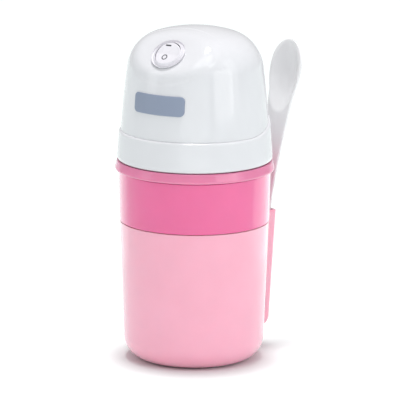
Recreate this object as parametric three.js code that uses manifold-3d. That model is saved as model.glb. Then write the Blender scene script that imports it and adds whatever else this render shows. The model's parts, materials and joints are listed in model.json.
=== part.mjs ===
// A one-pint ice cream maker that stands on a worktop: an insulating sleeve, a freezer bowl that
// lifts out of it, a mixing lid with a paddle, a domed motor unit that twists off the lid, and a
// spoon that stands in a pocket on the side of the sleeve.
// Millimetres, +Z up. The machine's axis is the Z axis, it stands on z = 0 and its front faces -Y.
// An azimuth is counted in degrees from the front, towards +X.
import * as THREE from "three";
import { mergeVertices } from "three/addons/utils/BufferGeometryUtils.js";
import Module from "manifold-3d";

const wasm = await Module();
wasm.setup();

// ---------------------------------------------------------------- driving dimensions

const GAP = 0.3; // clearance between pieces that touch on the real machine
const SIDES = 32; // sides of a large turned shell
const MEDIUM_SIDES = 24; // sides of the motor, switch and gearbox rooms
const FINE_SIDES = 14; // sides of a shaft, boss or small turned piece
const SCREW_SIDES = 8;

const PAD = { radius: 30, thickness: 1.8, recess: 1.6 };

const SLEEVE = {
  bottom: 0.5,
  top: 101.2,
  lowRadius: 50.2,
  topRadius: 53.3,
  footRounding: 15.5,
  wall: 2.2,
  floor: 4,
};

// The freezer bowl: an outer shell whose upper band shows, a rim ring, and a metal liner.
const BOWL = {
  bottom: 4.9,
  lowRadius: 46.8,
  neckRadius: 49.6,
  rounding: 15,
  wall: 2,
  bandBottom: 101.5,
  bandTop: 137.7,
  bandLowRadius: 53.6,
  bandTopRadius: 54.2,
  bandEdge: 0.8,
};
const PLUG = { radius: 6, height: 1.7 };
const LINER = {
  floor: 22,
  lowRadius: 39.5,
  topRadius: 41,
  rounding: 7,
  wall: 1,
  flangeTop: 140.6,
  flangeRadius: 48,
};
const GEL_TOP = 133.5;
const RIM = {
  bottom: 138,
  top: 145,
  beadRadius: 56.8,
  beadEdge: 0.6,
  beadHeight: 139.7,
  undercutRadius: 53.9,
  topRadius: 55.4,
  topEdge: 0.5,
  innerRadius: 41.3,
  webBottom: 142.6,
  tongueBottom: 134,
  tongueInner: 49.5,
  tongueOuter: 51.3,
};
const GASKET = { inner: 42.5, outer: 47.5, bottom: 140.9, top: 142.3 };

// The mixing lid sits in the bowl's mouth and carries the motor unit on three bayonet lugs.
const LID = {
  plateBottom: 145.3,
  plateTop: 146.8,
  plateRadius: 49,
  skirtBottom: 138.1,
  skirtInner: 38.5,
  skirtOuter: 40.3,
  holeRadius: 7.8,
  collarRadius: 9.8,
  collarBottom: 141.6,
  ringInner: 45,
  ringOuter: 47,
  ringTop: 149.8,
};
const BAYONET = {
  azimuths: [60, 180, 300],
  span: 14,
  lugBottom: 148.3,
  lugOuter: 49.3,
  ledgeBottom: 147.1,
  ledgeTop: 148,
  ledgeInner: 47.4,
};

// The motor unit: a base with a deck, under a domed cover. Their parting line is level at the
// front and rises at the rear, where the base holds the cord gland.
const MOTOR_BASE = {
  bottom: 145.3,
  footRadius: 53.8,
  footEdge: 0.9,
  widestRadius: 55.4,
  widestHeight: 148.4,
  wall: 2.5,
  innerRadius: 51.6,
  taper: 0.069,
  deckBottom: 151.5,
  deckTop: 153.5,
  shaftHole: 7.1,
};
const PARTING = { height: 166.9, rearRise: 17, startAzimuth: 76, reach: 70, slopeFrom: 40 };
const DOME = {
  seatRadius: 52.9,
  seatHeight: 167,
  lean: THREE.MathUtils.degToRad(5.7),
  shoulderRounding: 28,
  crownRadius: 98,
  top: 240.8,
  wall: 2.6,
};
const FACET = { y: -35.4, z: 225.6, tilt: THREE.MathUtils.degToRad(50), holeRadius: 11.7 };
const SWITCH = {
  flangeRadius: 12.6,
  flangeTop: 2.2,
  boreRadius: 9.9,
  barrelRadius: 11.4,
  barrelDepth: 10,
  bodyDepth: 18,
  rockerRadius: 9.6,
  pivotDepth: 1,
  rockerMiddle: 0.5,
  rockerBottom: -6.4,
  rockerTilt: THREE.MathUtils.degToRad(16),
};
const TERMINAL = { spread: 4, width: 4.8, thickness: 0.8, length: 6.5 };
const BADGE = { bottom: 185.2, top: 199.2, width: 42.4, corner: 3.5, thickness: 0.7 };
const GLAND = { height: 175, radius: 3.9, bore: 2.6, flange: 5.2, flangeWidth: 1.7, inner: 47, outer: 55.8 };

const COVER_SCREW = { azimuths: [35, 145, 265, 325], circle: 45.6, headRadius: 2.8, headHeight: 2 };
const COVER_BOSS = { radius: 3.8, bottom: 156.2, top: 197, pilot: 1.6 };
const COVER_SCREW_TOP = 170;
const PILLAR = { radius: 4.4, top: 155.7, counterbore: 3.2, ceiling: 154.2 };

// The gear train: pinion to idler to output.
const GEAR = {
  module: 1,
  pressureAngle: THREE.MathUtils.degToRad(24),
  backlash: 0.26,
  rootDepth: 1.2,
  tipHeight: 0.85,
};
const TEETH = { pinion: 10, idlerLarge: 38, idlerSmall: 10, output: 40 };
const IDLER_AZIMUTH = 215;
const GEARBOX = {
  floorBottom: 153.8,
  floorTop: 155.3,
  top: 170.2,
  coverBottom: 170.5,
  coverTop: 172.3,
  wall: 1.6,
  margin: 1.6,
  motorPadRadius: 17,
};
const GEARBOX_SCREW = {
  radius: 1.2,
  lug: 3.6,
  depth: 10,
  head: 2.3,
  headHeight: 1.6,
  standOff: 2.4,
  outputAzimuths: [95, 330],
  idlerAzimuth: 262,
};
const OUTPUT_GEAR = { bottom: 156, top: 161.5 };
const IDLER = { bottom: 155.8, step: 162.4, top: 167, bore: 1.9, pinRadius: 1.5 };
const PINION = { bottom: 162.7, top: 168.4, bore: 1.5 };
const SHAFT = { radius: 4, bottom: 134, top: 169.6, square: 5.4, squareTop: 146 };
const BUSH = { outer: 6.8, bottom: 151.7, top: 155.7 };
const SEAL = { outer: 9, bottom: 149, top: 151.2 };

const MOTOR = {
  radius: 14,
  wall: 1.3,
  bottom: 172.6,
  canTop: 206,
  capTop: 209,
  shaftRadius: 1.2,
  shaftHole: 2.4,
};
const ARMATURE = { radius: 9.2, bottom: 178, top: 200 };
const MAGNET = { inner: 9.8, outer: 12.3 };
const MOTOR_SCREW = { offset: 8, radius: 1, head: 2, headBottom: 168.8, top: 174.3, hole: 1.4 };

const BOARD = { x: -30, width: 26, bottom: 176, top: 205, thickness: 1.6 };
const CAPACITOR = { radius: 4.5, length: 11, y: 4, z: 184 };

// The insulated leads, each by the points that it runs through.
const LEAD = { radius: 0.9, sides: 6, steps: 12 };
const LIVE_ROUTE = [
  [1.5, 45.6, 175],
  [-4, 41, 189],
  [-17, 28, 204],
  [-14, 4, 208],
  [-5, -12, 201],
  [-4, -18.3, 205.2],
];
const NEUTRAL_ROUTE = [
  [-1.5, 45.6, 175],
  [-9, 43.5, 177],
  [-22, 34, 184],
  [-27, 20, 194],
  [-27.8, 11, 199],
];
const SWITCHED_ROUTE = [
  [4, -18.3, 205.2],
  [3, -12, 200],
  [-9, -11, 199],
  [-21, -10, 202],
  [-27.8, -9, 199],
];
const MOTOR_RED_ROUTE = [
  [-27.8, -3, 201],
  [-20, -2, 211],
  [-6, 6, 215],
  [2, 13, 214],
  [3, 15, 209.6],
];
const MOTOR_BLUE_ROUTE = [
  [-27.8, 6, 203],
  [-21, 10, 214],
  [-8, 20, 218],
  [5, 26, 216],
  [8, 28, 209.6],
];

// The paddle: a flat frame with a central stem, on a hub that takes the square end of the shaft.
const PADDLE = {
  bottom: 23.6,
  top: 122,
  halfWidth: 37.4,
  bar: 5.5,
  stem: 4.5,
  floorBar: 7,
  topBar: 5.5,
  corner: 6,
  thickness: 3.4,
  hubRadius: 6.5,
  hubBottom: 116,
  hubTop: 147.4,
};

// The spoon holder and the spoon share an upright plane at this azimuth.
const SPOON_AZIMUTH = 159;
const HOLDER = {
  width: 20,
  wall: 1.7,
  bottom: 17,
  top: 101.2,
  lowReach: 61,
  topReach: 67.1,
  chamfer: 4.4,
  backWall: 1.5,
  root: 45,
};
const SPOON = {
  thickness: 2.4,
  wall: 1.7,
  bowlCentre: 198.5,
  bowlRadius: 80.8,
  bowlSlope: 0.2,
  bowlLength: 22.5,
  bowlWidth: 16,
  bowlDepth: 7.2,
};

const deepPink = { color: 0xeb73a4, roughness: 0.25, metalness: 0 };
const lightPink = { color: 0xf6bccb, roughness: 0.2, metalness: 0 };
const white = { color: 0xe9ebee, roughness: 0.2, metalness: 0 };
const natural = { color: 0xe2e3e0, roughness: 0.45, metalness: 0 };
const black = { color: 0x1c1c1e, roughness: 0.6, metalness: 0 };
const steel = { color: 0xb9bcc0, roughness: 0.35, metalness: 1 };
const aluminium = { color: 0xc9ccd0, roughness: 0.4, metalness: 1 };
const brass = { color: 0xc8a24a, roughness: 0.35, metalness: 1 };
const copper = { color: 0xb4693a, roughness: 0.4, metalness: 1 };
const rubber = { color: 0x8c8f94, roughness: 0.8, metalness: 0 };
const gel = { color: 0xbfd9ea, roughness: 0.3, metalness: 0 };
const greyBlue = { color: 0x909bb0, roughness: 0.4, metalness: 0 };
const boardGreen = { color: 0x2f6b45, roughness: 0.5, metalness: 0 };
const red = { color: 0xb02a2a, roughness: 0.5, metalness: 0 };
const blue = { color: 0x2c4f9e, roughness: 0.5, metalness: 0 };

// ---------------------------------------------------------------- solids from geometries

// A closed geometry as a solid. Triangles that close up on a turned piece's axis are dropped.
function solid(geometry) {
  const bare = geometry.clone();
  bare.deleteAttribute("normal");
  bare.deleteAttribute("uv");
  const merged = mergeVertices(bare, 1e-4);
  const corners = merged.index.array;
  const kept = [];
  for (let i = 0; i < corners.length; i += 3) {
    const [a, b, c] = corners.subarray(i, i + 3);
    if (a !== b && b !== c && c !== a) kept.push(a, b, c);
  }
  const vertProperties = merged.attributes.position.array;
  const triVerts = new Uint32Array(kept);
  return new wasm.Manifold(new wasm.Mesh({ numProp: 3, vertProperties, triVerts }));
}

function join(first, ...others) {
  return others.reduce((whole, piece) => whole.add(piece), first);
}

function cut(first, ...others) {
  return others.reduce((whole, piece) => whole.subtract(piece), first);
}

function mesh(name, shape, look) {
  const { numProp, vertProperties, triVerts } = shape.getMesh();
  const points = new THREE.InterleavedBuffer(vertProperties, numProp);
  const geometry = new THREE.BufferGeometry();
  geometry.setAttribute("position", new THREE.InterleavedBufferAttribute(points, 3, 0));
  geometry.setIndex(new THREE.BufferAttribute(triVerts, 1));
  geometry.computeVertexNormals();
  const made = new THREE.Mesh(geometry, new THREE.MeshStandardMaterial(look));
  made.name = name;
  return made;
}

// A piece turned about the machine's axis, from a closed outline of [radius, height] corners.
// An outline that reaches the axis starts and ends on it.
function turned(outline, sides = SIDES) {
  const corners = outline.map(([radius, height]) => new THREE.Vector2(radius, height));
  if (THREE.ShapeUtils.isClockWise(corners)) corners.reverse();
  if (corners[0].x > 0) corners.push(corners[0].clone());
  return solid(new THREE.LatheGeometry(corners, sides).rotateX(Math.PI / 2));
}

function ring(inner, outer, bottom, top, sides = FINE_SIDES) {
  return turned([[inner, bottom], [outer, bottom], [outer, top], [inner, top]], sides);
}

// An upright cylinder as a geometry, so that it can still be turned and moved.
function rod(radius, bottom, top, x = 0, y = 0, sides = FINE_SIDES) {
  const geometry = new THREE.CylinderGeometry(radius, radius, top - bottom, sides);
  return geometry.rotateX(Math.PI / 2).translate(x, y, (bottom + top) / 2);
}

function post(...sizes) {
  return solid(rod(...sizes));
}

function block(width, depth, bottom, top, x = 0, y = 0) {
  return solid(new THREE.BoxGeometry(width, depth, top - bottom).translate(x, y, (bottom + top) / 2));
}

function raised(shape, bottom, top, curveSegments = 8) {
  const options = { depth: top - bottom, bevelEnabled: false, curveSegments };
  return new THREE.ExtrudeGeometry(shape, options).translate(0, 0, bottom);
}

function at(azimuth, radius) {
  const angle = THREE.MathUtils.degToRad(azimuth);
  return [radius * Math.sin(angle), -radius * Math.cos(angle)];
}

// Corners of an arc about [radius, height], with its angles counted from outwards towards up.
function arc(centre, rounding, from, to, steps) {
  return Array.from({ length: steps + 1 }, (_, i) => {
    const angle = from + ((to - from) * i) / steps;
    return [centre[0] + rounding * Math.cos(angle), centre[1] + rounding * Math.sin(angle)];
  });
}

// The outline of one side of a cup, from the axis at its floor out to its brim.
function cupSide(bottom, lowRadius, rounding, top, topRadius) {
  const centre = [lowRadius - rounding, bottom + rounding];
  return [[0, bottom], ...arc(centre, rounding, -Math.PI / 2, 0, 4), [topRadius, top]];
}

// Part of a ring, centred on an azimuth.
function ringPart(inner, outer, bottom, top, azimuth, span) {
  const middle = THREE.MathUtils.degToRad(azimuth - 90);
  const half = THREE.MathUtils.degToRad(span / 2);
  const shape = new THREE.Shape();
  shape.absarc(0, 0, outer, middle - half, middle + half, false);
  shape.absarc(0, 0, inner, middle + half, middle - half, true);
  return solid(raised(shape, bottom, top, 4));
}

// ---------------------------------------------------------------- sleeve, pad and spoon holder

function sleeveSide(growth) {
  const { bottom, lowRadius, footRounding, top, topRadius } = SLEEVE;
  const rounding = footRounding + growth;
  return cupSide(bottom - growth, lowRadius + growth, rounding, top, topRadius + growth);
}

function baseSleeve() {
  const inside = cupSide(
    SLEEVE.bottom + SLEEVE.floor,
    SLEEVE.lowRadius - SLEEVE.wall,
    SLEEVE.footRounding - SLEEVE.wall,
    SLEEVE.top,
    SLEEVE.topRadius - SLEEVE.wall,
  );
  const cup = turned([...sleeveSide(0), ...inside.reverse()]);
  return cut(cup, post(PAD.radius + GAP, 0, SLEEVE.bottom + PAD.recess, 0, 0, SIDES));
}

function basePad() {
  return post(PAD.radius, 0, PAD.thickness, 0, 0, SIDES);
}

// Turns a geometry drawn in the plane of radius (x) and height (y), with its depth along z, into
// the upright plane at the spoon's azimuth.
function inSpoonPlane(geometry) {
  const [x, y] = at(SPOON_AZIMUTH, 1);
  const outwards = new THREE.Vector3(x, y, 0);
  const up = new THREE.Vector3(0, 0, 1);
  const across = new THREE.Vector3().crossVectors(outwards, up);
  return geometry.applyMatrix4(new THREE.Matrix4().makeBasis(outwards, up, across));
}

function slab(outline, width) {
  const shape = new THREE.Shape(outline.map(([x, y]) => new THREE.Vector2(x, y)));
  return solid(inSpoonPlane(raised(shape, -width / 2, width / 2)));
}

function spoonHolder() {
  const { width, wall, bottom, top, lowReach, topReach, chamfer, root, backWall } = HOLDER;
  const outside = [
    [root, bottom],
    [lowReach - chamfer, bottom],
    [lowReach, bottom + chamfer],
    [topReach, top],
    [root, top],
  ];
  const inside = [
    [root, bottom + wall],
    [lowReach - chamfer - wall / 2, bottom + wall],
    [lowReach - wall, bottom + chamfer + wall / 2],
    [topReach - wall, top],
    [topReach - wall, top + wall],
    [root, top + wall],
  ];
  const sleeveWithGap = turned([...sleeveSide(GAP), [0, SLEEVE.top]]);
  const sleeveWithWall = turned([...sleeveSide(GAP + backWall), [0, SLEEVE.top + wall]]);
  const hollow = cut(slab(inside, width - 2 * wall), sleeveWithWall);
  return cut(slab(outside, width), sleeveWithGap, hollow);
}

// ---------------------------------------------------------------- spoon

// The spoon's middle line as [radius, height]: straight in the pocket, then leaning outwards.
const spoonLine = new THREE.SplineCurve(
  [
    [56.7, 31],
    [60.1, 65],
    [63.5, 99],
    [70.4, 147],
    [80.3, 196],
    [86.6, 222.8],
  ].map(([x, y]) => new THREE.Vector2(x, y)),
);

// Half the spoon's width against height, from the tip down to the end of the handle.
const spoonEdge = new THREE.SplineCurve(
  [
    [0.5, 222.3],
    [8.6, 220.6],
    [14.9, 213.8],
    [17.5, 202],
    [16.2, 192],
    [13.6, 180],
    [11.8, 167],
    [10, 150],
    [7.9, 125],
    [6.6, 99],
    [5.8, 31],
  ].map(([x, y]) => new THREE.Vector2(x, y)),
);

// Half a hollow ellipsoid's outer or inner form, lying against the spoon's face at the bowl.
function spoonBowlForm(inset) {
  const { bowlWidth, bowlLength, bowlDepth, bowlCentre, bowlRadius, bowlSlope } = SPOON;
  const form = new THREE.SphereGeometry(1, 16, 10);
  form.scale(bowlDepth - inset, bowlLength - inset, bowlWidth - inset);
  form.rotateZ(-Math.atan(bowlSlope)).translate(bowlRadius, bowlCentre, 0);
  return solid(inSpoonPlane(form));
}

function spoon() {
  const steps = 12;
  const half = SPOON.thickness / 2;
  const outer = [];
  const middle = [];
  const inner = [];
  for (let i = 0; i <= steps; i += 1) {
    const point = spoonLine.getPoint(i / steps);
    const along = spoonLine.getTangent(i / steps);
    outer.push([point.x + along.y * half, point.y - along.x * half]);
    middle.push([point.x, point.y]);
    inner.unshift([point.x - along.y * half, point.y + along.x * half]);
  }
  const ribbon = slab([...outer, ...inner], 4 * SPOON.bowlWidth);

  const edge = spoonEdge.getPoints(18);
  const mirrored = edge.map((p) => new THREE.Vector2(-p.x, p.y)).reverse();
  const reach = 60;
  const outline = raised(new THREE.Shape([...edge, ...mirrored]), 0, reach);
  outline.rotateY(Math.PI / 2).translate(HOLDER.root, 0, 0);
  const blade = ribbon.intersect(solid(inSpoonPlane(outline)));

  // Everything on the axis side of the middle line, so that the bowl only bulges outwards.
  const [low, high] = [middle[0], middle[steps]];
  const corners = [[low[0] - reach, high[1]], [low[0] - reach, low[1]]];
  const nearSide = slab([...middle, ...corners], 4 * SPOON.bowlWidth);
  const bulge = cut(spoonBowlForm(0), nearSide);
  return cut(join(blade, bulge), spoonBowlForm(SPOON.wall));
}

// ---------------------------------------------------------------- freezer bowl

function bowlShell() {
  const { bottom, lowRadius, neckRadius, rounding, wall, bandBottom, bandTop, bandEdge } = BOWL;
  const outside = [
    ...cupSide(bottom, lowRadius, rounding, bandBottom, neckRadius),
    [BOWL.bandLowRadius - bandEdge, bandBottom],
    [BOWL.bandLowRadius, bandBottom + bandEdge],
    [BOWL.bandTopRadius, bandTop],
  ];
  const inside = [
    ...cupSide(bottom + wall, lowRadius - wall, rounding - wall, bandBottom + wall, neckRadius - wall),
    [BOWL.bandLowRadius - wall, bandBottom + wall],
    [BOWL.bandTopRadius - wall, bandTop],
  ];
  const shell = turned([...outside, ...inside.reverse()]);
  return cut(shell, post(PLUG.radius + GAP, 0, bottom + 2 * wall));
}

function fillPlug() {
  return post(PLUG.radius, BOWL.bottom, BOWL.bottom + PLUG.height);
}

function linerSide(growth) {
  const { floor, lowRadius, rounding, flangeTop, topRadius, wall } = LINER;
  const top = flangeTop - wall;
  return cupSide(floor - growth, lowRadius + growth, rounding + growth, top, topRadius + growth);
}

function bowlLiner() {
  const { wall, flangeRadius, flangeTop, topRadius } = LINER;
  const flange = [
    [flangeRadius, flangeTop - wall],
    [flangeRadius, flangeTop],
    [topRadius, flangeTop],
  ];
  return turned([...linerSide(wall), ...flange, ...linerSide(0).reverse()]);
}

function coolantGel() {
  const { bottom, lowRadius, neckRadius, rounding, wall, bandBottom, bandLowRadius } = BOWL;
  const inset = wall + GAP;
  const shellSide = cupSide(
    bottom + inset,
    lowRadius - inset,
    rounding - inset,
    bandBottom + inset,
    neckRadius - inset,
  );
  const linerClearance = LINER.wall + GAP;
  const upTo = (GEL_TOP - LINER.floor) / (LINER.flangeTop - LINER.floor);
  const innerTop = LINER.topRadius * upTo + LINER.lowRadius * (1 - upTo) + linerClearance + GAP;
  const inner = linerSide(linerClearance).slice(0, -1);
  return turned([
    ...shellSide,
    [bandLowRadius - inset, bandBottom + inset],
    [bandLowRadius - inset, GEL_TOP],
    [innerTop, GEL_TOP],
    ...inner.reverse(),
  ]);
}

function rimRing() {
  const { bottom, top, beadRadius, beadEdge, beadHeight, undercutRadius, tongueBottom } = RIM;
  return turned([
    [undercutRadius, bottom],
    [beadRadius - beadEdge, bottom + beadEdge],
    [beadRadius, beadHeight],
    [RIM.topRadius, top - RIM.topEdge],
    [RIM.topRadius - RIM.topEdge, top],
    [RIM.innerRadius, top],
    [RIM.innerRadius, RIM.webBottom],
    [RIM.tongueInner, RIM.webBottom],
    [RIM.tongueInner, tongueBottom],
    [RIM.tongueOuter, tongueBottom],
    [RIM.tongueOuter, bottom],
  ]);
}

function rimGasket() {
  return ring(GASKET.inner, GASKET.outer, GASKET.bottom, GASKET.top, SIDES);
}

// ---------------------------------------------------------------- mixing lid and paddle

function mixingLid() {
  const { holeRadius, collarRadius, collarBottom, plateBottom, plateTop, plateRadius } = LID;
  const plate = turned([
    [holeRadius, collarBottom],
    [collarRadius, collarBottom],
    [collarRadius, plateBottom],
    [LID.skirtInner, plateBottom],
    [LID.skirtInner, LID.skirtBottom],
    [LID.skirtOuter, LID.skirtBottom],
    [LID.skirtOuter, plateBottom],
    [plateRadius, plateBottom],
    [plateRadius, plateTop],
    [LID.ringOuter, plateTop],
    [LID.ringOuter, LID.ringTop],
    [LID.ringInner, LID.ringTop],
    [LID.ringInner, plateTop],
    [holeRadius, plateTop],
  ]);
  const { azimuths, lugOuter, lugBottom, span } = BAYONET;
  const lugs = azimuths.map((azimuth) =>
    ringPart(LID.ringInner + 1, lugOuter, lugBottom, LID.ringTop, azimuth, span),
  );
  return join(plate, ...lugs);
}

function roundedRectangle(left, right, bottom, top, corner, Path = THREE.Shape) {
  const path = new Path();
  path.moveTo(left + corner, bottom);
  path.absarc(right - corner, bottom + corner, corner, -Math.PI / 2, 0, false);
  path.absarc(right - corner, top - corner, corner, 0, Math.PI / 2, false);
  path.absarc(left + corner, top - corner, corner, Math.PI / 2, Math.PI, false);
  path.absarc(left + corner, bottom + corner, corner, Math.PI, 1.5 * Math.PI, false);
  return path;
}

function paddle() {
  const { bottom, top, halfWidth, bar, stem, floorBar, topBar, corner, thickness } = PADDLE;
  const frame = roundedRectangle(-halfWidth, halfWidth, bottom, top, corner);
  const [near, far] = [stem, halfWidth - bar];
  const [low, high] = [bottom + floorBar, top - topBar];
  frame.holes.push(roundedRectangle(near, far, low, high, corner / 2, THREE.Path));
  frame.holes.push(roundedRectangle(-far, -near, low, high, corner / 2, THREE.Path));
  const flat = raised(frame, -thickness / 2, thickness / 2, 3).rotateX(Math.PI / 2);
  const hub = post(PADDLE.hubRadius, PADDLE.hubBottom, PADDLE.hubTop);
  const socket = SHAFT.square + 2 * GAP;
  const round = post(SHAFT.radius + GAP, SHAFT.squareTop - GAP, PADDLE.hubTop + GAP);
  return cut(join(solid(flat), hub), block(socket, socket, SHAFT.bottom - GAP, PADDLE.hubTop), round);
}

function outputShaft() {
  const square = block(SHAFT.square, SHAFT.square, SHAFT.bottom, SHAFT.squareTop + 1);
  return join(post(SHAFT.radius, SHAFT.squareTop, SHAFT.top), square);
}

// ---------------------------------------------------------------- motor unit shells

// How far the parting line stands above its level front stretch.
function partingRise(x, y) {
  const azimuth = Math.abs(THREE.MathUtils.radToDeg(Math.atan2(x, -y)));
  const { startAzimuth, rearRise } = PARTING;
  const share = Math.max(0, (azimuth - startAzimuth) / (180 - startAzimuth));
  return (rearRise / 2) * (1 - Math.cos(Math.PI * share));
}

// Everything below the parting line, lowered by a clearance.
function belowParting(clearance) {
  const floor = BOWL.bandBottom;
  const { reach, slopeFrom } = PARTING;
  const top = PARTING.height - clearance;
  const outline = [[0, floor], [reach, floor], [reach, top], [slopeFrom, top], [0, top]];
  const corners = outline.map(([radius, height]) => new THREE.Vector2(radius, height));
  const geometry = new THREE.LatheGeometry(corners, SIDES).rotateX(Math.PI / 2);
  const places = geometry.attributes.position;
  for (let i = 0; i < places.count; i += 1) {
    const [x, y, z] = [places.getX(i), places.getY(i), places.getZ(i)];
    const onRisingEdge = z > floor + 1 && Math.hypot(x, y) > slopeFrom - 1;
    if (onRisingEdge) places.setZ(i, z + partingRise(x, y));
  }
  return solid(geometry);
}

function motorBase() {
  const { bottom, footRadius, footEdge, widestRadius, widestHeight, wall, innerRadius } = MOTOR_BASE;
  const { shaftHole, deckBottom, deckTop, taper } = MOTOR_BASE;
  const tall = PARTING.height + PARTING.rearRise + 1;
  const drawnIn = taper * (tall - widestHeight);
  const skirt = turned([
    [footRadius, bottom],
    [footRadius + footEdge, bottom + footEdge / 2],
    [widestRadius, widestHeight],
    [widestRadius - drawnIn, tall],
    [widestRadius - drawnIn - wall, tall],
    [innerRadius, widestHeight],
    [innerRadius, bottom],
  ]);
  const wallBelow = skirt.intersect(belowParting(0));
  const deck = ring(shaftHole, innerRadius + 1, deckBottom, deckTop, SIDES);
  const { azimuths, ledgeInner, ledgeBottom, ledgeTop, span } = BAYONET;
  const ledges = azimuths.map((azimuth) =>
    ringPart(ledgeInner, innerRadius + 1, ledgeBottom, ledgeTop, azimuth, span),
  );
  const places = COVER_SCREW.azimuths.map((azimuth) => at(azimuth, COVER_SCREW.circle));
  const pillars = places.map((p) => post(PILLAR.radius, deckBottom, PILLAR.top, ...p));
  const heads = places.map((p) => post(PILLAR.counterbore, bottom, PILLAR.ceiling, ...p));
  const holes = places.map((p) => post(COVER_BOSS.pilot, bottom, PILLAR.top + 1, ...p, SCREW_SIDES));
  const glandHole = rod(GLAND.radius + GAP, GLAND.inner / 2, GLAND.outer).rotateX(-Math.PI / 2);
  glandHole.translate(0, 0, GLAND.height);
  return cut(join(wallBelow, deck, ...ledges, ...pillars), ...heads, ...holes, solid(glandHole));
}

// The dome's outline, offset inwards by an inset: a leaning wall, a shoulder arc tangent to it and
// a flatter crown arc tangent to the shoulder.
function domeOutline(inset, bottom) {
  const { seatRadius, seatHeight, lean, shoulderRounding, crownRadius, top } = DOME;
  const up = new THREE.Vector2(-Math.sin(lean), Math.cos(lean));
  const inwards = new THREE.Vector2(-Math.cos(lean), -Math.sin(lean));
  const seat = new THREE.Vector2(seatRadius, seatHeight);
  const start = seat.clone().addScaledVector(inwards, shoulderRounding);
  const crown = new THREE.Vector2(0, top - crownRadius);
  const offset = start.clone().sub(crown);
  const along = offset.dot(up);
  const rest = offset.lengthSq() - (crownRadius - shoulderRounding) ** 2;
  const centre = start.addScaledVector(up, Math.sqrt(along * along - rest) - along);
  const turn = centre.clone().sub(crown).angle();
  const foot = seat.clone().addScaledVector(inwards, inset);
  foot.addScaledVector(up, (bottom - foot.y) / up.y);
  return [
    [0, bottom],
    [foot.x, bottom],
    ...arc([centre.x, centre.y], shoulderRounding - inset, lean, turn, 6),
    ...arc([0, crown.y], crownRadius - inset, turn, Math.PI / 2, 3).slice(1, -1),
    [0, top - inset],
  ];
}

// Places a geometry drawn on the switch facet: x across, y up the slope, z out of the facet.
function onFacet(geometry) {
  const across = new THREE.Vector3(1, 0, 0);
  const slope = new THREE.Vector3(0, Math.sin(FACET.tilt), Math.cos(FACET.tilt));
  const out = new THREE.Vector3(0, -Math.cos(FACET.tilt), Math.sin(FACET.tilt));
  const matrix = new THREE.Matrix4().makeBasis(across, slope, out).setPosition(0, FACET.y, FACET.z);
  return geometry.applyMatrix4(matrix);
}

function aboveFacet(inset) {
  const size = 2 * DOME.seatRadius;
  return solid(onFacet(new THREE.BoxGeometry(size, size, size).translate(0, 0, size / 2 - inset)));
}

function motorCover() {
  const { wall } = DOME;
  const outside = cut(turned(domeOutline(0, MOTOR_BASE.deckTop)), aboveFacet(0));
  const inside = cut(turned(domeOutline(wall, MOTOR_BASE.deckBottom)), aboveFacet(wall));
  const shell = cut(outside, inside, belowParting(-GAP));
  const places = COVER_SCREW.azimuths.map((azimuth) => at(azimuth, COVER_SCREW.circle));
  const bosses = places.map((p) => post(COVER_BOSS.radius, COVER_BOSS.bottom, COVER_BOSS.top, ...p));
  const pilots = places.map((p) =>
    post(COVER_BOSS.pilot, COVER_BOSS.bottom - 1, COVER_SCREW_TOP + GAP, ...p, SCREW_SIDES),
  );
  const hole = solid(onFacet(rod(FACET.holeRadius, -3 * wall, wall, 0, 0, MEDIUM_SIDES)));
  return cut(join(shell, ...bosses), ...pilots, hole);
}

function coverScrew(azimuth) {
  const place = at(azimuth, COVER_SCREW.circle);
  const under = PILLAR.ceiling - GAP;
  const head = post(COVER_SCREW.headRadius, under - COVER_SCREW.headHeight, under, ...place, SCREW_SIDES);
  return join(head, post(COVER_BOSS.pilot - GAP, under - 1, COVER_SCREW_TOP, ...place, SCREW_SIDES));
}

function badgePlate() {
  const { bottom, top, width, corner, thickness } = BADGE;
  const domeRadius = (height) => DOME.seatRadius - Math.tan(DOME.lean) * (height - DOME.seatHeight);
  const shell = turned([
    [domeRadius(bottom) + GAP, bottom],
    [domeRadius(bottom) + GAP + thickness, bottom],
    [domeRadius(top) + GAP + thickness, top],
    [domeRadius(top) + GAP, top],
  ]);
  const outline = roundedRectangle(-width / 2, width / 2, bottom, top, corner);
  return shell.intersect(solid(raised(outline, 0, 2 * width, 4).rotateX(Math.PI / 2)));
}

function cordGland() {
  const { height, radius, bore, flange, flangeWidth, inner, outer } = GLAND;
  const lying = (width, from, to) => {
    const geometry = rod(width, from, to).rotateX(-Math.PI / 2);
    return solid(geometry.translate(0, 0, height));
  };
  const barrel = lying(radius, inner, outer);
  const collar = lying(flange, outer - flangeWidth, outer);
  return cut(join(barrel, collar), lying(bore, inner - 1, outer + 1));
}

// ---------------------------------------------------------------- switch

function switchBezel() {
  const { flangeRadius, flangeTop, boreRadius, barrelRadius, barrelDepth } = SWITCH;
  const flange = solid(onFacet(rod(flangeRadius, GAP, flangeTop, 0, 0, MEDIUM_SIDES)));
  const barrel = solid(onFacet(rod(barrelRadius, -barrelDepth, flangeTop, 0, 0, MEDIUM_SIDES)));
  const bore = solid(onFacet(rod(boreRadius, -barrelDepth - 1, flangeTop + 1, 0, 0, MEDIUM_SIDES)));
  return cut(join(flange, barrel), bore);
}

function switchBody() {
  const { barrelRadius, barrelDepth, bodyDepth } = SWITCH;
  return solid(onFacet(rod(barrelRadius, -bodyDepth, -barrelDepth - GAP)));
}

function switchTerminal(side) {
  const top = -SWITCH.bodyDepth - GAP;
  const blade = new THREE.BoxGeometry(TERMINAL.thickness, TERMINAL.width, TERMINAL.length);
  return solid(onFacet(blade.translate(side * TERMINAL.spread, 0, top - TERMINAL.length / 2)));
}

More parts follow.
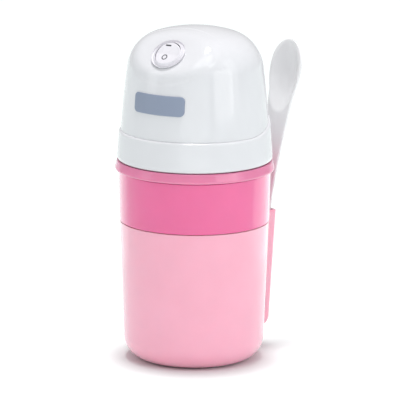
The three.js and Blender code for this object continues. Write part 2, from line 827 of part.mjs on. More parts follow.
// The rocker's front half lies level and its rear half stands up, so its front end is pressed in.
// Its skirt is part of a ball about the pivot, so it keeps clear of the bezel as it tips.
function switchRocker() {
  const { rockerRadius, pivotDepth, rockerTilt, rockerMiddle: middle, rockerBottom: bottom } = SWITCH;
  const profile = [
    [-rockerRadius, middle],
    [-rockerRadius, bottom],
    [rockerRadius, bottom],
    [rockerRadius, middle + rockerRadius * Math.tan(rockerTilt)],
    [0, middle],
  ];
  const shape = new THREE.Shape(profile.map(([x, y]) => new THREE.Vector2(x, y)));
  const side = raised(shape, -rockerRadius, rockerRadius);
  side.rotateX(Math.PI / 2).rotateZ(Math.PI / 2);
  const ball = new THREE.SphereGeometry(rockerRadius, 22, 12).translate(0, 0, -pivotDepth);
  return solid(onFacet(side)).intersect(solid(onFacet(ball)));
}

// ---------------------------------------------------------------- gear train and motor

// An involute spur gear with one tooth centred on the given direction, in radians.
function gear(teeth, bottom, top, [x, y], direction, toothOnDirection) {
  const { module: size, pressureAngle, backlash, rootDepth, tipHeight } = GEAR;
  const pitch = (teeth * size) / 2;
  const base = pitch * Math.cos(pressureAngle);
  const involute = (radius) => {
    const angle = Math.acos(Math.min(1, base / radius));
    return Math.tan(angle) - angle;
  };
  const halfAngle = (radius) =>
    Math.PI / (2 * teeth) + involute(pitch) - involute(radius) - backlash / (2 * pitch);
  const radii = [pitch - rootDepth * size, pitch, pitch + tipHeight * size];
  const rising = radii.map((radius) => [radius, -halfAngle(radius)]);
  const falling = radii.map((radius) => [radius, halfAngle(radius)]).reverse();
  const first = direction + (toothOnDirection ? 0 : Math.PI / teeth);
  const corners = [];
  for (let tooth = 0; tooth < teeth; tooth += 1) {
    const middle = first + (2 * Math.PI * tooth) / teeth;
    for (const [radius, turn] of [...rising, ...falling]) {
      const angle = middle + turn;
      corners.push(new THREE.Vector2(x + radius * Math.cos(angle), y + radius * Math.sin(angle)));
    }
  }
  return solid(raised(new THREE.Shape(corners), bottom, top));
}

const idlerDistance = (GEAR.module * (TEETH.output + TEETH.idlerSmall)) / 2;
const motorDistance = (GEAR.module * (TEETH.pinion + TEETH.idlerLarge)) / 2;
const OUTPUT_PLACE = [0, 0];
const IDLER_PLACE = at(IDLER_AZIMUTH, idlerDistance);
const MOTOR_PLACE = [IDLER_PLACE[0] + motorDistance, IDLER_PLACE[1]];
const idlerDirection = Math.atan2(IDLER_PLACE[1], IDLER_PLACE[0]);

function outputGear() {
  const { bottom, top } = OUTPUT_GEAR;
  const wheel = gear(TEETH.output, bottom, top, OUTPUT_PLACE, idlerDirection, true);
  return cut(wheel, post(SHAFT.radius + GAP, bottom - 1, top + 1));
}

function idlerGear() {
  const { bottom, step, top, bore } = IDLER;
  const small = gear(TEETH.idlerSmall, bottom, step + 1, IDLER_PLACE, idlerDirection + Math.PI, false);
  const large = gear(TEETH.idlerLarge, step, top, IDLER_PLACE, 0, true);
  return cut(join(small, large), post(bore, bottom - 1, top + 1, ...IDLER_PLACE));
}

function idlerPin() {
  return post(IDLER.pinRadius, GEARBOX.floorTop + GAP, GEARBOX.coverBottom - GAP, ...IDLER_PLACE);
}

function pinion() {
  const { bottom, top, bore } = PINION;
  const wheel = gear(TEETH.pinion, bottom, top, MOTOR_PLACE, Math.PI, false);
  return cut(wheel, post(bore, bottom - 1, top + 1, ...MOTOR_PLACE, SCREW_SIDES));
}

const gearMargin = GEAR.module + GEARBOX.margin;
const outputRoom = (GEAR.module * TEETH.output) / 2 + gearMargin;
const idlerRoom = (GEAR.module * TEETH.idlerLarge) / 2 + gearMargin;
const lugReach = GEARBOX.wall + GEARBOX_SCREW.standOff;
const [idlerLugX, idlerLugY] = at(GEARBOX_SCREW.idlerAzimuth, idlerRoom + lugReach);
const screwPlaces = [
  ...GEARBOX_SCREW.outputAzimuths.map((azimuth) => at(azimuth, outputRoom + lugReach)),
  [IDLER_PLACE[0] + idlerLugX, IDLER_PLACE[1] + idlerLugY],
];

// The gearbox's plan as one block: a room for each wheel, a pad for the motor and screw lugs.
function gearboxPlan(growth, bottom, top, lugs) {
  const rooms = [
    post(outputRoom + growth, bottom, top, ...OUTPUT_PLACE, MEDIUM_SIDES),
    post(idlerRoom + growth, bottom, top, ...IDLER_PLACE, MEDIUM_SIDES),
    post(GEARBOX.motorPadRadius - GEARBOX.wall + growth, bottom, top, ...MOTOR_PLACE, MEDIUM_SIDES),
  ];
  const ears = lugs ? screwPlaces.map((p) => post(GEARBOX_SCREW.lug, bottom, top, ...p)) : [];
  return join(...rooms, ...ears);
}

function gearboxHousing() {
  const { floorBottom, floorTop, top, wall } = GEARBOX;
  const outside = gearboxPlan(wall, floorBottom, top, true);
  const inside = gearboxPlan(0, floorTop, top + 1, false);
  const holes = screwPlaces.map((p) =>
    post(GEARBOX_SCREW.radius + GAP, top - GEARBOX_SCREW.depth, top + 1, ...p, SCREW_SIDES),
  );
  const shaftHole = post(BUSH.outer + GAP, floorBottom - 1, floorTop + 1);
  return cut(outside, inside, shaftHole, ...holes);
}

function gearboxCover() {
  const { coverBottom, coverTop, wall } = GEARBOX;
  const plate = gearboxPlan(wall, coverBottom, coverTop, true);
  const holes = screwPlaces.map((p) =>
    post(GEARBOX_SCREW.radius + GAP, coverBottom - 1, coverTop + 1, ...p, SCREW_SIDES),
  );
  const motorHoles = motorScrewPlaces().map((p) =>
    post(MOTOR_SCREW.hole, coverBottom - 1, coverTop + 1, ...p, SCREW_SIDES),
  );
  const shaftHole = post(2 * MOTOR.shaftHole, coverBottom - 1, coverTop + 1, ...MOTOR_PLACE);
  return cut(plate, shaftHole, ...holes, ...motorHoles);
}

function gearboxScrew([x, y]) {
  const { radius, depth, head, headHeight } = GEARBOX_SCREW;
  const seat = GEARBOX.coverTop + GAP;
  const shank = post(radius, GEARBOX.top - depth + GAP, seat + 1, x, y, SCREW_SIDES);
  return join(shank, post(head, seat, seat + headHeight, x, y, SCREW_SIDES));
}

function motorScrewPlaces() {
  const [x, y] = MOTOR_PLACE;
  return [-1, 1].map((side) => [x, y + side * MOTOR_SCREW.offset]);
}

function motorScrew([x, y]) {
  const { radius, head, headBottom, top } = MOTOR_SCREW;
  const shank = post(radius, headBottom, top, x, y, SCREW_SIDES);
  return join(shank, post(head, headBottom, GEARBOX.coverBottom - GAP, x, y, SCREW_SIDES));
}

function motorCan() {
  const { radius, wall, bottom, canTop, shaftHole } = MOTOR;
  const body = post(radius, bottom, canTop, ...MOTOR_PLACE, MEDIUM_SIDES);
  const room = post(radius - wall, bottom + wall, canTop + 1, ...MOTOR_PLACE, MEDIUM_SIDES);
  const way = post(shaftHole, bottom - 1, bottom + 2 * wall, ...MOTOR_PLACE);
  const holes = motorScrewPlaces().map((p) =>
    post(MOTOR_SCREW.hole, bottom - 1, bottom + 2 * wall, ...p, SCREW_SIDES),
  );
  return cut(body, room, way, ...holes);
}

function motorEndCap() {
  const { radius, canTop, capTop, shaftRadius } = MOTOR;
  const disc = post(radius, canTop + GAP, capTop, ...MOTOR_PLACE, MEDIUM_SIDES);
  return cut(disc, post(shaftRadius + GAP, canTop, capTop + 1, ...MOTOR_PLACE));
}

function motorMagnet() {
  const { bottom, top } = ARMATURE;
  const outer = post(MAGNET.outer, bottom, top, ...MOTOR_PLACE, MEDIUM_SIDES);
  return cut(outer, post(MAGNET.inner, bottom - 1, top + 1, ...MOTOR_PLACE, MEDIUM_SIDES));
}

function armature() {
  const { radius, bottom, top } = ARMATURE;
  const core = post(radius, bottom, top, ...MOTOR_PLACE);
  const bore = MOTOR.shaftRadius + GAP;
  return cut(core, post(bore, bottom - 1, top + 1, ...MOTOR_PLACE, SCREW_SIDES));
}

function motorShaft() {
  return post(MOTOR.shaftRadius, PINION.bottom, MOTOR.capTop - GAP, ...MOTOR_PLACE, SCREW_SIDES);
}

// ---------------------------------------------------------------- electrical pieces

function powerBoard() {
  return block(BOARD.thickness, BOARD.width, BOARD.bottom, BOARD.top, BOARD.x);
}

function capacitor() {
  const { radius, length, y, z } = CAPACITOR;
  const face = BOARD.x + BOARD.thickness / 2 + GAP;
  return solid(rod(radius, face, face + length).rotateY(Math.PI / 2).translate(0, y, z));
}

function lead(points) {
  const { radius, sides, steps } = LEAD;
  const section = new THREE.Shape(
    Array.from({ length: sides }, (_, i) => {
      const angle = (2 * Math.PI * i) / sides;
      return new THREE.Vector2(radius * Math.cos(angle), radius * Math.sin(angle));
    }),
  );
  const extrudePath = new THREE.CatmullRomCurve3(points.map((p) => new THREE.Vector3(...p)));
  return solid(new THREE.ExtrudeGeometry(section, { steps, extrudePath }));
}

// ---------------------------------------------------------------- assembly

const base = new THREE.Group();
base.add(
  mesh("base_sleeve", baseSleeve(), lightPink),
  mesh("base_pad", basePad(), rubber),
  mesh("spoon_holder", spoonHolder(), lightPink),
);

const freezerBowl = new THREE.Group();
freezerBowl.add(
  mesh("bowl_shell", bowlShell(), deepPink),
  mesh("bowl_rim_ring", rimRing(), deepPink),
  mesh("bowl_liner", bowlLiner(), aluminium),
  mesh("bowl_rim_gasket", rimGasket(), rubber),
  mesh("bowl_fill_plug", fillPlug(), rubber),
  mesh("coolant_gel", coolantGel(), gel),
);

const drive = new THREE.Group();
drive.add(
  mesh("output_gear", outputGear(), natural),
  mesh("output_shaft", outputShaft(), steel),
  mesh("paddle", paddle(), white),
  mesh("idler_gear", idlerGear(), natural),
  mesh("motor_pinion", pinion(), brass),
  mesh("motor_shaft", motorShaft(), steel),
  mesh("motor_armature", armature(), copper),
);

const motorUnit = new THREE.Group();
motorUnit.add(
  mesh("motor_base", motorBase(), white),
  mesh("motor_cover", motorCover(), white),
  mesh("badge_plate", badgePlate(), greyBlue),
  mesh("cord_gland", cordGland(), white),
  mesh("switch_bezel", switchBezel(), white),
  mesh("switch_body", switchBody(), black),
  mesh("switch_terminal_left", switchTerminal(-1), brass),
  mesh("switch_terminal_right", switchTerminal(1), brass),
  mesh("gearbox_housing", gearboxHousing(), natural),
  mesh("gearbox_cover", gearboxCover(), natural),
  mesh("idler_pin", idlerPin(), steel),
  mesh("output_bush", ring(SHAFT.radius + GAP, BUSH.outer, BUSH.bottom, BUSH.top), brass),
  mesh("shaft_seal", ring(SHAFT.radius + GAP, SEAL.outer, SEAL.bottom, SEAL.top), black),
  mesh("motor_can", motorCan(), steel),
  mesh("motor_end_cap", motorEndCap(), black),
  mesh("motor_magnet", motorMagnet(), rubber),
  mesh("power_board", powerBoard(), boardGreen),
  mesh("filter_capacitor", capacitor(), black),
  mesh("lead_live", lead(LIVE_ROUTE), red),
  mesh("lead_neutral", lead(NEUTRAL_ROUTE), blue),
  mesh("lead_switched", lead(SWITCHED_ROUTE), red),
  mesh("lead_motor_red", lead(MOTOR_RED_ROUTE), red),
  mesh("lead_motor_blue", lead(MOTOR_BLUE_ROUTE), blue),
);
COVER_SCREW.azimuths.forEach((azimuth, i) => {
  motorUnit.add(mesh(`cover_screw_${i + 1}`, coverScrew(azimuth), steel));
});
screwPlaces.forEach((place, i) => {
  motorUnit.add(mesh(`gearbox_screw_${i + 1}`, gearboxScrew(place), steel));
});
motorScrewPlaces().forEach((place, i) => {
  motorUnit.add(mesh(`motor_screw_${i + 1}`, motorScrew(place), steel));
});

const iceCreamMaker = new THREE.Group();
iceCreamMaker.add(
  base,
  freezerBowl,
  drive,
  motorUnit,
  mesh("mixing_lid", mixingLid(), natural),
  mesh("switch_rocker", switchRocker(), white),
  mesh("spoon", spoon(), white),
);

export default iceCreamMaker;
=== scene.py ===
"""One-pint ice cream maker: the visible pieces and materials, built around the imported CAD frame.

Lengths in the pieces' outlines are in millimetres and become metres in mesh_object().
The machine's axis is the Z axis, its front faces -Y, and azimuths are counted from the front
towards +X.
"""
import json
import math

import bmesh
import bpy
import numpy as np
from mathutils import Euler, Matrix, Vector


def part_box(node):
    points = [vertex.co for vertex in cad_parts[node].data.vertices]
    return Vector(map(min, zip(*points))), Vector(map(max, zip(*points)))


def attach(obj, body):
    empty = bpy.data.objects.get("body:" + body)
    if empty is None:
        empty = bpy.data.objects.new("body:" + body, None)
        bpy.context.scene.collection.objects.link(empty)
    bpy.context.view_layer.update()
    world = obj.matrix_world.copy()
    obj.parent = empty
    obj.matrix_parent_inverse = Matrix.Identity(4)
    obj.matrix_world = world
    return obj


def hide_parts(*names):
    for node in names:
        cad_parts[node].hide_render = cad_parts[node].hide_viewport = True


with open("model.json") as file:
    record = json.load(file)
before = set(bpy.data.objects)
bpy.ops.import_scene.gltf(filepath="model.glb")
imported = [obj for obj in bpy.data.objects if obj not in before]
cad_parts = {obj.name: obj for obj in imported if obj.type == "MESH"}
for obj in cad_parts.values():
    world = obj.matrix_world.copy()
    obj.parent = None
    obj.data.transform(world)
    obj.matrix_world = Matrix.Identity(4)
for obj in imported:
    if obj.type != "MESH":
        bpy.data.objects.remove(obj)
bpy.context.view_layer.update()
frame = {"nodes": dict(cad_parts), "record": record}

MM = 0.001
TURN_STEPS = 192
NO_EXTRA_POINTS = 1e9
TINY = 1e-6
PI = math.pi


# ---- sizes from the frame

def low(node):
    """A CAD node's lowest corner, in millimetres."""
    return np.array(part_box(node)[0]) / MM


def high(node):
    """A CAD node's highest corner, in millimetres."""
    return np.array(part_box(node)[1]) / MM


SLEEVE_BOTTOM = low("base_sleeve")[2]
SLEEVE_TOP = high("base_sleeve")[2]
SLEEVE_TOP_RADIUS = high("base_sleeve")[0]
SLEEVE_LOW_RADIUS = SLEEVE_TOP_RADIUS - 3.1
SLEEVE_WALL = 2.2
SLEEVE_FLOOR = 4.0
FOOT_ROUNDING = 15.5
SLEEVE_SLOPE = ((SLEEVE_TOP_RADIUS - SLEEVE_LOW_RADIUS)
                / (SLEEVE_TOP - SLEEVE_BOTTOM - FOOT_ROUNDING))

PAD_RADIUS = high("base_pad")[0]
PAD_TOP = high("base_pad")[2]
PAD_RECESS = PAD_TOP + 0.3

BOWL_BOTTOM = low("bowl_shell")[2]
BAND_TOP = high("bowl_shell")[2]
BAND_TOP_RADIUS = high("bowl_shell")[0]
BAND_BOTTOM = SLEEVE_TOP + 0.1
BAND_LOW_RADIUS = BAND_TOP_RADIUS - 0.6
BOWL_NECK_RADIUS = 49.6
BOWL_LOW_RADIUS = 46.8
BOWL_ROUNDING = 15.0
BOWL_WALL = 2.0

RIM_BOTTOM = BAND_TOP + 0.05
RIM_TOP = high("bowl_rim_ring")[2]
RIM_BEAD_RADIUS = high("bowl_rim_ring")[0]
RIM_BEAD_HEIGHT = 139.7
RIM_TOP_RADIUS = 55.4
RIM_BORE = 41.3
RIM_UNDERSIDE = 142.6
RIM_TONGUE_INNER = 49.5
RIM_TONGUE_OUTER = 51.3
RIM_TONGUE_BOTTOM = 134.0

LINER_TOP = high("bowl_liner")[2]
LINER_FLANGE = high("bowl_liner")[0]

COLLAR_BOTTOM = low("motor_base")[2]
COLLAR_RADIUS = high("motor_base")[0]
COLLAR_WIDEST = 148.4
COLLAR_TAPER = 0.069
COLLAR_INNER_RADIUS = 51.4
DECK_BOTTOM = 151.5
DECK_TOP = 153.5
DECK_BORE = 7.1
DECK_MIDDLE = 30
PARTING_HEIGHT = 166.9
PARTING_RISE = high("motor_base")[2] - PARTING_HEIGHT
PARTING_START = math.radians(76)

DOME_TOP = high("motor_cover")[2]
DOME_SEAT_RADIUS = 52.9
DOME_SEAT_HEIGHT = 167.0
DOME_LEAN = math.radians(5.7)
DOME_SLOPE = math.tan(DOME_LEAN)
DOME_SIDE = np.array([math.cos(DOME_LEAN), math.sin(DOME_LEAN)])
DOME_SHOULDER = 28.0
DOME_CROWN = 98.0
DOME_WALL = 2.6

FACET_CENTRE = Vector((0, -35.4, 225.6))
FACET_TILT = math.radians(50)
FACET_OUT = Vector((0, -math.cos(FACET_TILT), math.sin(FACET_TILT)))
FACET_CREASE = 2.4
FACET_HOLE = 11.65

BEZEL_RADIUS = 12.6
BEZEL_TOP = 2.5
BEZEL_BORE = 10.08
BEZEL_BARREL = 11.4
BEZEL_BARREL_DEPTH = -10
BEZEL_MOUTH = 9.5
BEZEL_SEAT = 0.06
ROCKER_BALL = 9.88
ROCKER_PIVOT = 1.0
ROCKER_TILT = math.radians(16)
ROCKER_LEVEL = 0.7
ROCKER_BEND = 0.6
ROCKER_EDGE = 0.6

SPOON_AZIMUTH = math.radians(159)


# ---- mesh helpers

def linked(name, data):
    """A new object in the scene."""
    made = bpy.data.objects.new(name, data)
    bpy.context.scene.collection.objects.link(made)
    return made


def smooth(mesh):
    mesh.polygons.foreach_set("use_smooth", [True] * len(mesh.polygons))


def mesh_object(name, points, faces):
    """A smooth-shaded mesh from points in millimetres."""
    mesh = bpy.data.meshes.new(name)
    mesh.from_pydata([Vector(p) * MM for p in points], [], faces)
    mesh.validate()
    smooth(mesh)
    return linked(name, mesh)


def ring_faces(rings, count):
    """The four-sided faces between rings of count points that follow one another."""
    return [
        (i * count + k, i * count + (k + 1) % count,
         (i + 1) * count + (k + 1) % count, (i + 1) * count + k)
        for i in range(rings - 1) for k in range(count)
    ]


def outward(obj):
    """Turns every face of a closed mesh outwards."""
    work = bmesh.new()
    work.from_mesh(obj.data)
    bmesh.ops.remove_doubles(work, verts=work.verts, dist=1e-7)
    bmesh.ops.recalc_face_normals(work, faces=work.faces)
    work.to_mesh(obj.data)
    work.free()
    return obj


def join(first, *others):
    """Joins separate closed meshes into one object."""
    work = bmesh.new()
    for obj in (first, *others):
        work.from_mesh(obj.data)
    work.to_mesh(first.data)
    work.free()
    for obj in others:
        bpy.data.objects.remove(obj)
    return first


def carve(obj, cutter):
    """Cuts one closed mesh out of another."""
    step = obj.modifiers.new("carve", "BOOLEAN")
    step.object = cutter
    step.operation = "DIFFERENCE"
    step.solver = "EXACT"
    graph = bpy.context.evaluated_depsgraph_get()
    made = bpy.data.meshes.new_from_object(obj.evaluated_get(graph))
    obj.modifiers.clear()
    old = obj.data
    obj.data = made
    made.name = obj.name
    bpy.data.meshes.remove(old)
    bpy.data.objects.remove(cutter)
    return obj


def filleted(corners, spacing=2.5, steps=7):
    """An open outline through (x, y, fillet radius) corners, with its corners rounded.

    Straight stretches get extra points, close to their ends and then at an even spacing, so that
    smooth shading stays true.
    """
    points = [np.array(c[:2], float) for c in corners]
    radii = [c[2] if len(c) > 2 else 0.0 for c in corners]
    made = []
    for i, point in enumerate(points):
        if i in (0, len(points) - 1) or radii[i] <= 0:
            made.append([point])
            continue
        before = points[i - 1] - point
        after = points[i + 1] - point
        before /= np.linalg.norm(before)
        after /= np.linalg.norm(after)
        half = math.acos(max(-1.0, min(1.0, float(before @ after)))) / 2
        reach = radii[i] / math.tan(half)
        middle = before + after
        middle /= np.linalg.norm(middle)
        centre = point + middle * (radii[i] / math.sin(half))
        start = point + before * reach - centre
        turn = float(start[0] * after[1] - start[1] * after[0])
        sweep = (PI - 2 * half) * (1 if turn > 0 else -1)
        arc = []
        for k in range(steps + 1):
            angle = sweep * k / steps
            c, s = math.cos(angle), math.sin(angle)
            turned_start = [start[0] * c - start[1] * s, start[0] * s + start[1] * c]
            arc.append(centre + np.array(turned_start))
        made.append(arc)
    out = [made[0][0]]
    for group in made:
        start, end = out[-1], group[0]
        length = float(np.linalg.norm(end - start))
        if length > TINY:
            near = min(0.3, length / 4)
            inner = [near]
            count = int((length - 2 * near) // spacing)
            inner += [near + (length - 2 * near) * k / (count + 1) for k in range(1, count + 1)]
            inner.append(length - near)
            out += [start + (end - start) * d / length for d in inner]
        out += group if length > TINY else group[1:]
    return [tuple(p) for p in out]


def swept(name, outline_at, steps=TURN_STEPS):
    """A body of revolution whose outline may change with the azimuth.

    outline_at(azimuth) gives (radius, height) points. An outline that starts and ends on the axis
    gives poles there, and any other outline closes on itself.
    """
    outlines = [outline_at(2 * PI * i / steps) for i in range(steps)]
    count = len(outlines[0])
    poles = outlines[0][0][0] < TINY and outlines[0][-1][0] < TINY
    points, faces = [], []
    for i, outline in enumerate(outlines):
        angle = 2 * PI * i / steps
        for radius, height in outline:
            points.append((radius * math.sin(angle), -radius * math.cos(angle), height))
    for i in range(steps):
        a, b = i * count, ((i + 1) % steps) * count
        for k in range(count - 1 if poles else count):
            n = (k + 1) % count
            faces.append((a + k, b + k, b + n, a + n))
    return outward(mesh_object(name, points, faces))


def turned(name, corners, steps=TURN_STEPS, **options):
    """A plain body of revolution from (radius, height, fillet) corners."""
    if corners[0][0] > 0:
        # A closed outline starts half way along its first side, so that its first corner is
        # rounded too.
        middle = tuple((np.array(corners[0][:2]) + np.array(corners[1][:2])) / 2)
        corners = [middle, *corners[1:], corners[0], middle]
        outline = filleted(corners, **options)[:-1]
    else:
        outline = filleted(corners, **options)
    return swept(name, lambda azimuth: outline, steps)


def on_axis(obj, matrix):
    """Moves a piece made about the Z axis into place by a matrix given in millimetres."""
    placed = matrix.copy()
    placed.translation = matrix.translation * MM
    obj.data.transform(placed)
    return obj


def direction(azimuth, elevation):
    """The way towards an azimuth and an elevation, in radians."""
    level = math.cos(elevation)
    return Vector((math.sin(azimuth) * level, -math.cos(azimuth) * level, math.sin(elevation)))


def facet_matrix():
    """The switch facet's frame: x across, y up its slope, z out of it."""
    slope = Vector((0, math.sin(FACET_TILT), math.cos(FACET_TILT)))
    rows = Matrix((Vector((1, 0, 0)), slope, FACET_OUT)).transposed().to_4x4()
    rows.translation = FACET_CENTRE
    return rows


def spoon_matrix():
    """The spoon's upright plane: x outwards, y up, z across."""
    outwards = Vector((math.sin(SPOON_AZIMUTH), -math.cos(SPOON_AZIMUTH), 0))
    up = Vector((0, 0, 1))
    return Matrix((outwards, up, outwards.cross(up))).transposed().to_4x4()


def place(obj, body, material, slot, *nodes):
    """Gives a piece its material, its body and the CAD nodes that it stands for."""
    obj.data.materials.clear()
    obj.data.materials.append(material)
    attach(obj, body)
    if nodes:
        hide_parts(*nodes)


# ---- materials

def linear(red, green, blue):
    """A colour given as 8-bit sRGB, as linear light."""
    def channel(value):
        share = value / 255
        return share / 12.92 if share <= 0.04045 else ((share + 0.055) / 1.055) ** 2.4
    return (channel(red), channel(green), channel(blue), 1.0)


def fill(node, **sockets):
    """Sets a node's inputs, whose names have _ for a space."""
    for socket, value in sockets.items():
        node.inputs[socket.replace("_", " ")].default_value = value


class Surface:
    """A procedural material: a Principled shader whose colour, roughness and bump vary."""

    def __init__(self, name, roughness, **sockets):
        self.material = bpy.data.materials.new(name)
        self.material.use_nodes = True
        self.tree = self.material.node_tree
        self.shader = self.tree.nodes["Principled BSDF"]
        fill(self.shader, Roughness=roughness, **sockets)
        self.place = self.node("TexCoord").outputs["Object"]

    def node(self, kind, **sockets):
        made = self.tree.nodes.new("ShaderNode" + kind)
        fill(made, **sockets)
        return made

    def link(self, source, node, socket):
        self.tree.links.new(source, node.inputs[socket])

    def noise(self, size_mm, detail=2.0, stretch=(1, 1, 1)):
        """Noise whose features are about size_mm across."""
        mapping = self.node("Mapping", Scale=stretch)
        self.link(self.place, mapping, "Vector")
        texture = self.node("TexNoise", Scale=1 / (size_mm * MM), Detail=detail)
        self.link(mapping.outputs["Vector"], texture, "Vector")
        return texture.outputs["Fac"]

    def ramp(self, source, low, high, start=0.35, end=0.65):
        """A colour or a number that goes from low to high as source goes from start to end."""
        if isinstance(low, tuple):
            node = self.node("ValToRGB")
            node.color_ramp.elements[0].position = start
            node.color_ramp.elements[1].position = end
            node.color_ramp.elements[0].color = low
            node.color_ramp.elements[1].color = high
            self.link(source, node, "Fac")
            return node.outputs["Color"]
        node = self.node("MapRange", From_Min=start, From_Max=end, To_Min=low, To_Max=high)
        self.link(source, node, "Value")
        return node.outputs["Result"]

    def colour(self, source):
        self.link(source, self.shader, "Base Color")

    def rough(self, source):
        self.link(source, self.shader, "Roughness")

    def bump(self, source, height_mm):
        """Raises the surface by height_mm where source is 1."""
        node = self.node("Bump", Strength=1.0, Distance=height_mm * MM)
        self.link(source, node, "Height")
        if self.shader.inputs["Normal"].is_linked:
            self.link(self.shader.inputs["Normal"].links[0].from_socket, node, "Normal")
        self.link(node.outputs["Normal"], self.shader, "Normal")


def shade(colour, factor):
    return tuple(min(1.0, c * factor) for c in colour[:3]) + (1.0,)


def moulded(name, colour, roughness, variation, texture_mm, height_mm=0.002, scatter=None,
            **sockets):
    """Moulded plastic: faint cloudiness, a little flow marking and a fine moulded texture.

    scatter gives the subsurface weight, radius and scale.
    """
    if scatter:
        names = ("Subsurface_Weight", "Subsurface_Radius", "Subsurface_Scale")
        sockets.update(zip(names, scatter))
    surface = Surface(name, roughness, **sockets)
    cloud = surface.noise(28, detail=3)
    surface.colour(surface.ramp(cloud, shade(colour, 1 - variation), shade(colour, 1 + variation)))
    smear = surface.noise(9, detail=4, stretch=(1, 1, 0.35))
    surface.rough(surface.ramp(smear, roughness * 0.85, roughness * 1.2, 0.3, 0.7))
    surface.bump(surface.noise(texture_mm), height_mm)
    return surface


def metal(name, colour, roughness, stretch):
    """Worked metal with fine lines along one direction."""
    surface = Surface(name, roughness, Metallic=1.0)
    lines = surface.noise(0.9, detail=5, stretch=stretch)
    surface.colour(surface.ramp(lines, shade(colour, 0.9), shade(colour, 1.06), 0.25, 0.75))
    surface.rough(surface.ramp(lines, roughness * 0.8, roughness * 1.25, 0.3, 0.7))
    surface.bump(lines, 0.004)
    return surface.material


def brushed_badge():
    """The badge's paint, with faint brushing along it."""
    surface = moulded(
        "badge_grey_blue", linear(137, 147, 168), 0.36, variation=0.02, texture_mm=0.35,
        height_mm=0.002, IOR=1.5,
    )
    surface.bump(surface.noise(0.5, stretch=(0.08, 0.08, 1)), 0.002)
    return surface.material


def circuit_board():
    """A green board with a grid of lighter lines."""
    surface = Surface("circuit_board", 0.4)
    cells = surface.node(
        "TexBrick", Scale=180, Color1=linear(38, 104, 62), Color2=linear(30, 86, 52),
        Mortar=linear(66, 140, 92),
    )
    surface.link(surface.place, cells, "Vector")
    surface.colour(cells.outputs["Color"])
    surface.bump(cells.outputs["Fac"], 0.02)
    return surface.material


def wire(name, colour):
    return moulded(name, colour, 0.4, variation=0.06, texture_mm=0.8, height_mm=0.01).material


def windings():
    """Copper wire, wound in fine turns."""
    surface = Surface("windings", 0.35, Metallic=1.0)
    turns = surface.noise(0.7, stretch=(0.15, 0.15, 1))
    surface.colour(surface.ramp(turns, linear(120, 62, 30), linear(196, 120, 72)))
    surface.bump(turns, 0.12)
    return surface.material


light_pink = moulded(
    "light_pink_plastic", linear(246, 170, 192), 0.13, variation=0.015, texture_mm=3.5,
    height_mm=0.006, scatter=(0.35, (1.0, 0.5, 0.55), 0.004),
    Coat_Weight=0.7, Coat_Roughness=0.1, IOR=1.5,
).material
deep_pink = moulded(
    "deep_pink_plastic", linear(230, 86, 149), 0.14, variation=0.02, texture_mm=3.5,
    height_mm=0.006, scatter=(0.3, (1.0, 0.35, 0.45), 0.003),
    Coat_Weight=0.9, Coat_Roughness=0.12, IOR=1.55,
).material
# Painted light: the bead is the same plastic as the bowl shell, but it is given a paler, greyer
# copy of the deep pink that stands in for the light its rounded, translucent bead catches. Its
# subsurface scattering is real translucency.
rim_pink = moulded(
    "rim_pink_plastic", linear(221, 129, 166), 0.16, variation=0.02, texture_mm=3.5,
    height_mm=0.004, scatter=(0.5, (1.0, 0.5, 0.6), 0.004),
    Coat_Weight=0.3, Coat_Roughness=0.08, IOR=1.5,
).material
white_gloss = moulded(
    "white_gloss_plastic", linear(219, 219, 223), 0.11, variation=0.008, texture_mm=4.5,
    height_mm=0.006, scatter=(0.1, (1.0, 1.0, 1.0), 0.002),
    Coat_Weight=0.2, Coat_Roughness=0.04, IOR=1.5,
).material
switch_white = moulded(
    "switch_white_plastic", linear(226, 224, 230), 0.25, variation=0.008, texture_mm=0.5,
    height_mm=0.0015, IOR=1.5,
).material
spoon_white = moulded(
    "spoon_white_plastic", linear(227, 226, 228), 0.2, variation=0.012, texture_mm=2.0,
    height_mm=0.004, scatter=(0.6, (1.0, 1.0, 1.0), 0.004), IOR=1.5,
).material
ink = moulded("switch_ink", linear(64, 64, 72), 0.5, variation=0.08, texture_mm=0.3).material
natural = moulded(
    "natural_plastic", linear(232, 232, 228), 0.35, variation=0.015, texture_mm=0.8,
    height_mm=0.004, scatter=(0.4, (1.0, 1.0, 0.95), 0.004), IOR=1.5,
).material
black = moulded("black_plastic", linear(34, 34, 37), 0.45, variation=0.15, texture_mm=0.5).material
rubber = moulded(
    "grey_rubber", linear(150, 152, 156), 0.75, variation=0.06, texture_mm=0.4, height_mm=0.012,
).material
gel = moulded(
    "freezing_gel", linear(190, 214, 232), 0.3, variation=0.08, texture_mm=4, height_mm=0.05,
    scatter=(0.5, (0.6, 0.8, 1.0), 0.006),
).material
steel = metal("turned_steel", linear(176, 178, 182), 0.3, (1, 1, 6))
aluminium = metal("drawn_aluminium", linear(205, 207, 211), 0.33, (0.12, 0.12, 1.5))
brass = metal("brass", linear(201, 164, 84), 0.3, (1, 1, 4))


# ---- sleeve, pad and spoon holder

def base_sleeve():
    """The insulating outer sleeve, with a floor over the pad's recess."""
    foot = SLEEVE_LOW_RADIUS - SLEEVE_SLOPE * FOOT_ROUNDING
    floor = SLEEVE_BOTTOM + SLEEVE_FLOOR
    return turned("sleeve_shell", [
        (0, PAD_RECESS),
        (PAD_RADIUS + 0.3, PAD_RECESS, 0.3),
        (PAD_RADIUS + 0.3, SLEEVE_BOTTOM, 0.3),
        (foot, SLEEVE_BOTTOM, FOOT_ROUNDING),
        (SLEEVE_TOP_RADIUS, SLEEVE_TOP, 0.35),
        (SLEEVE_TOP_RADIUS - SLEEVE_WALL, SLEEVE_TOP, 0.8),
        (foot - SLEEVE_WALL, floor, FOOT_ROUNDING - SLEEVE_WALL),
        (0, floor),
    ], steps=256, spacing=2.0)


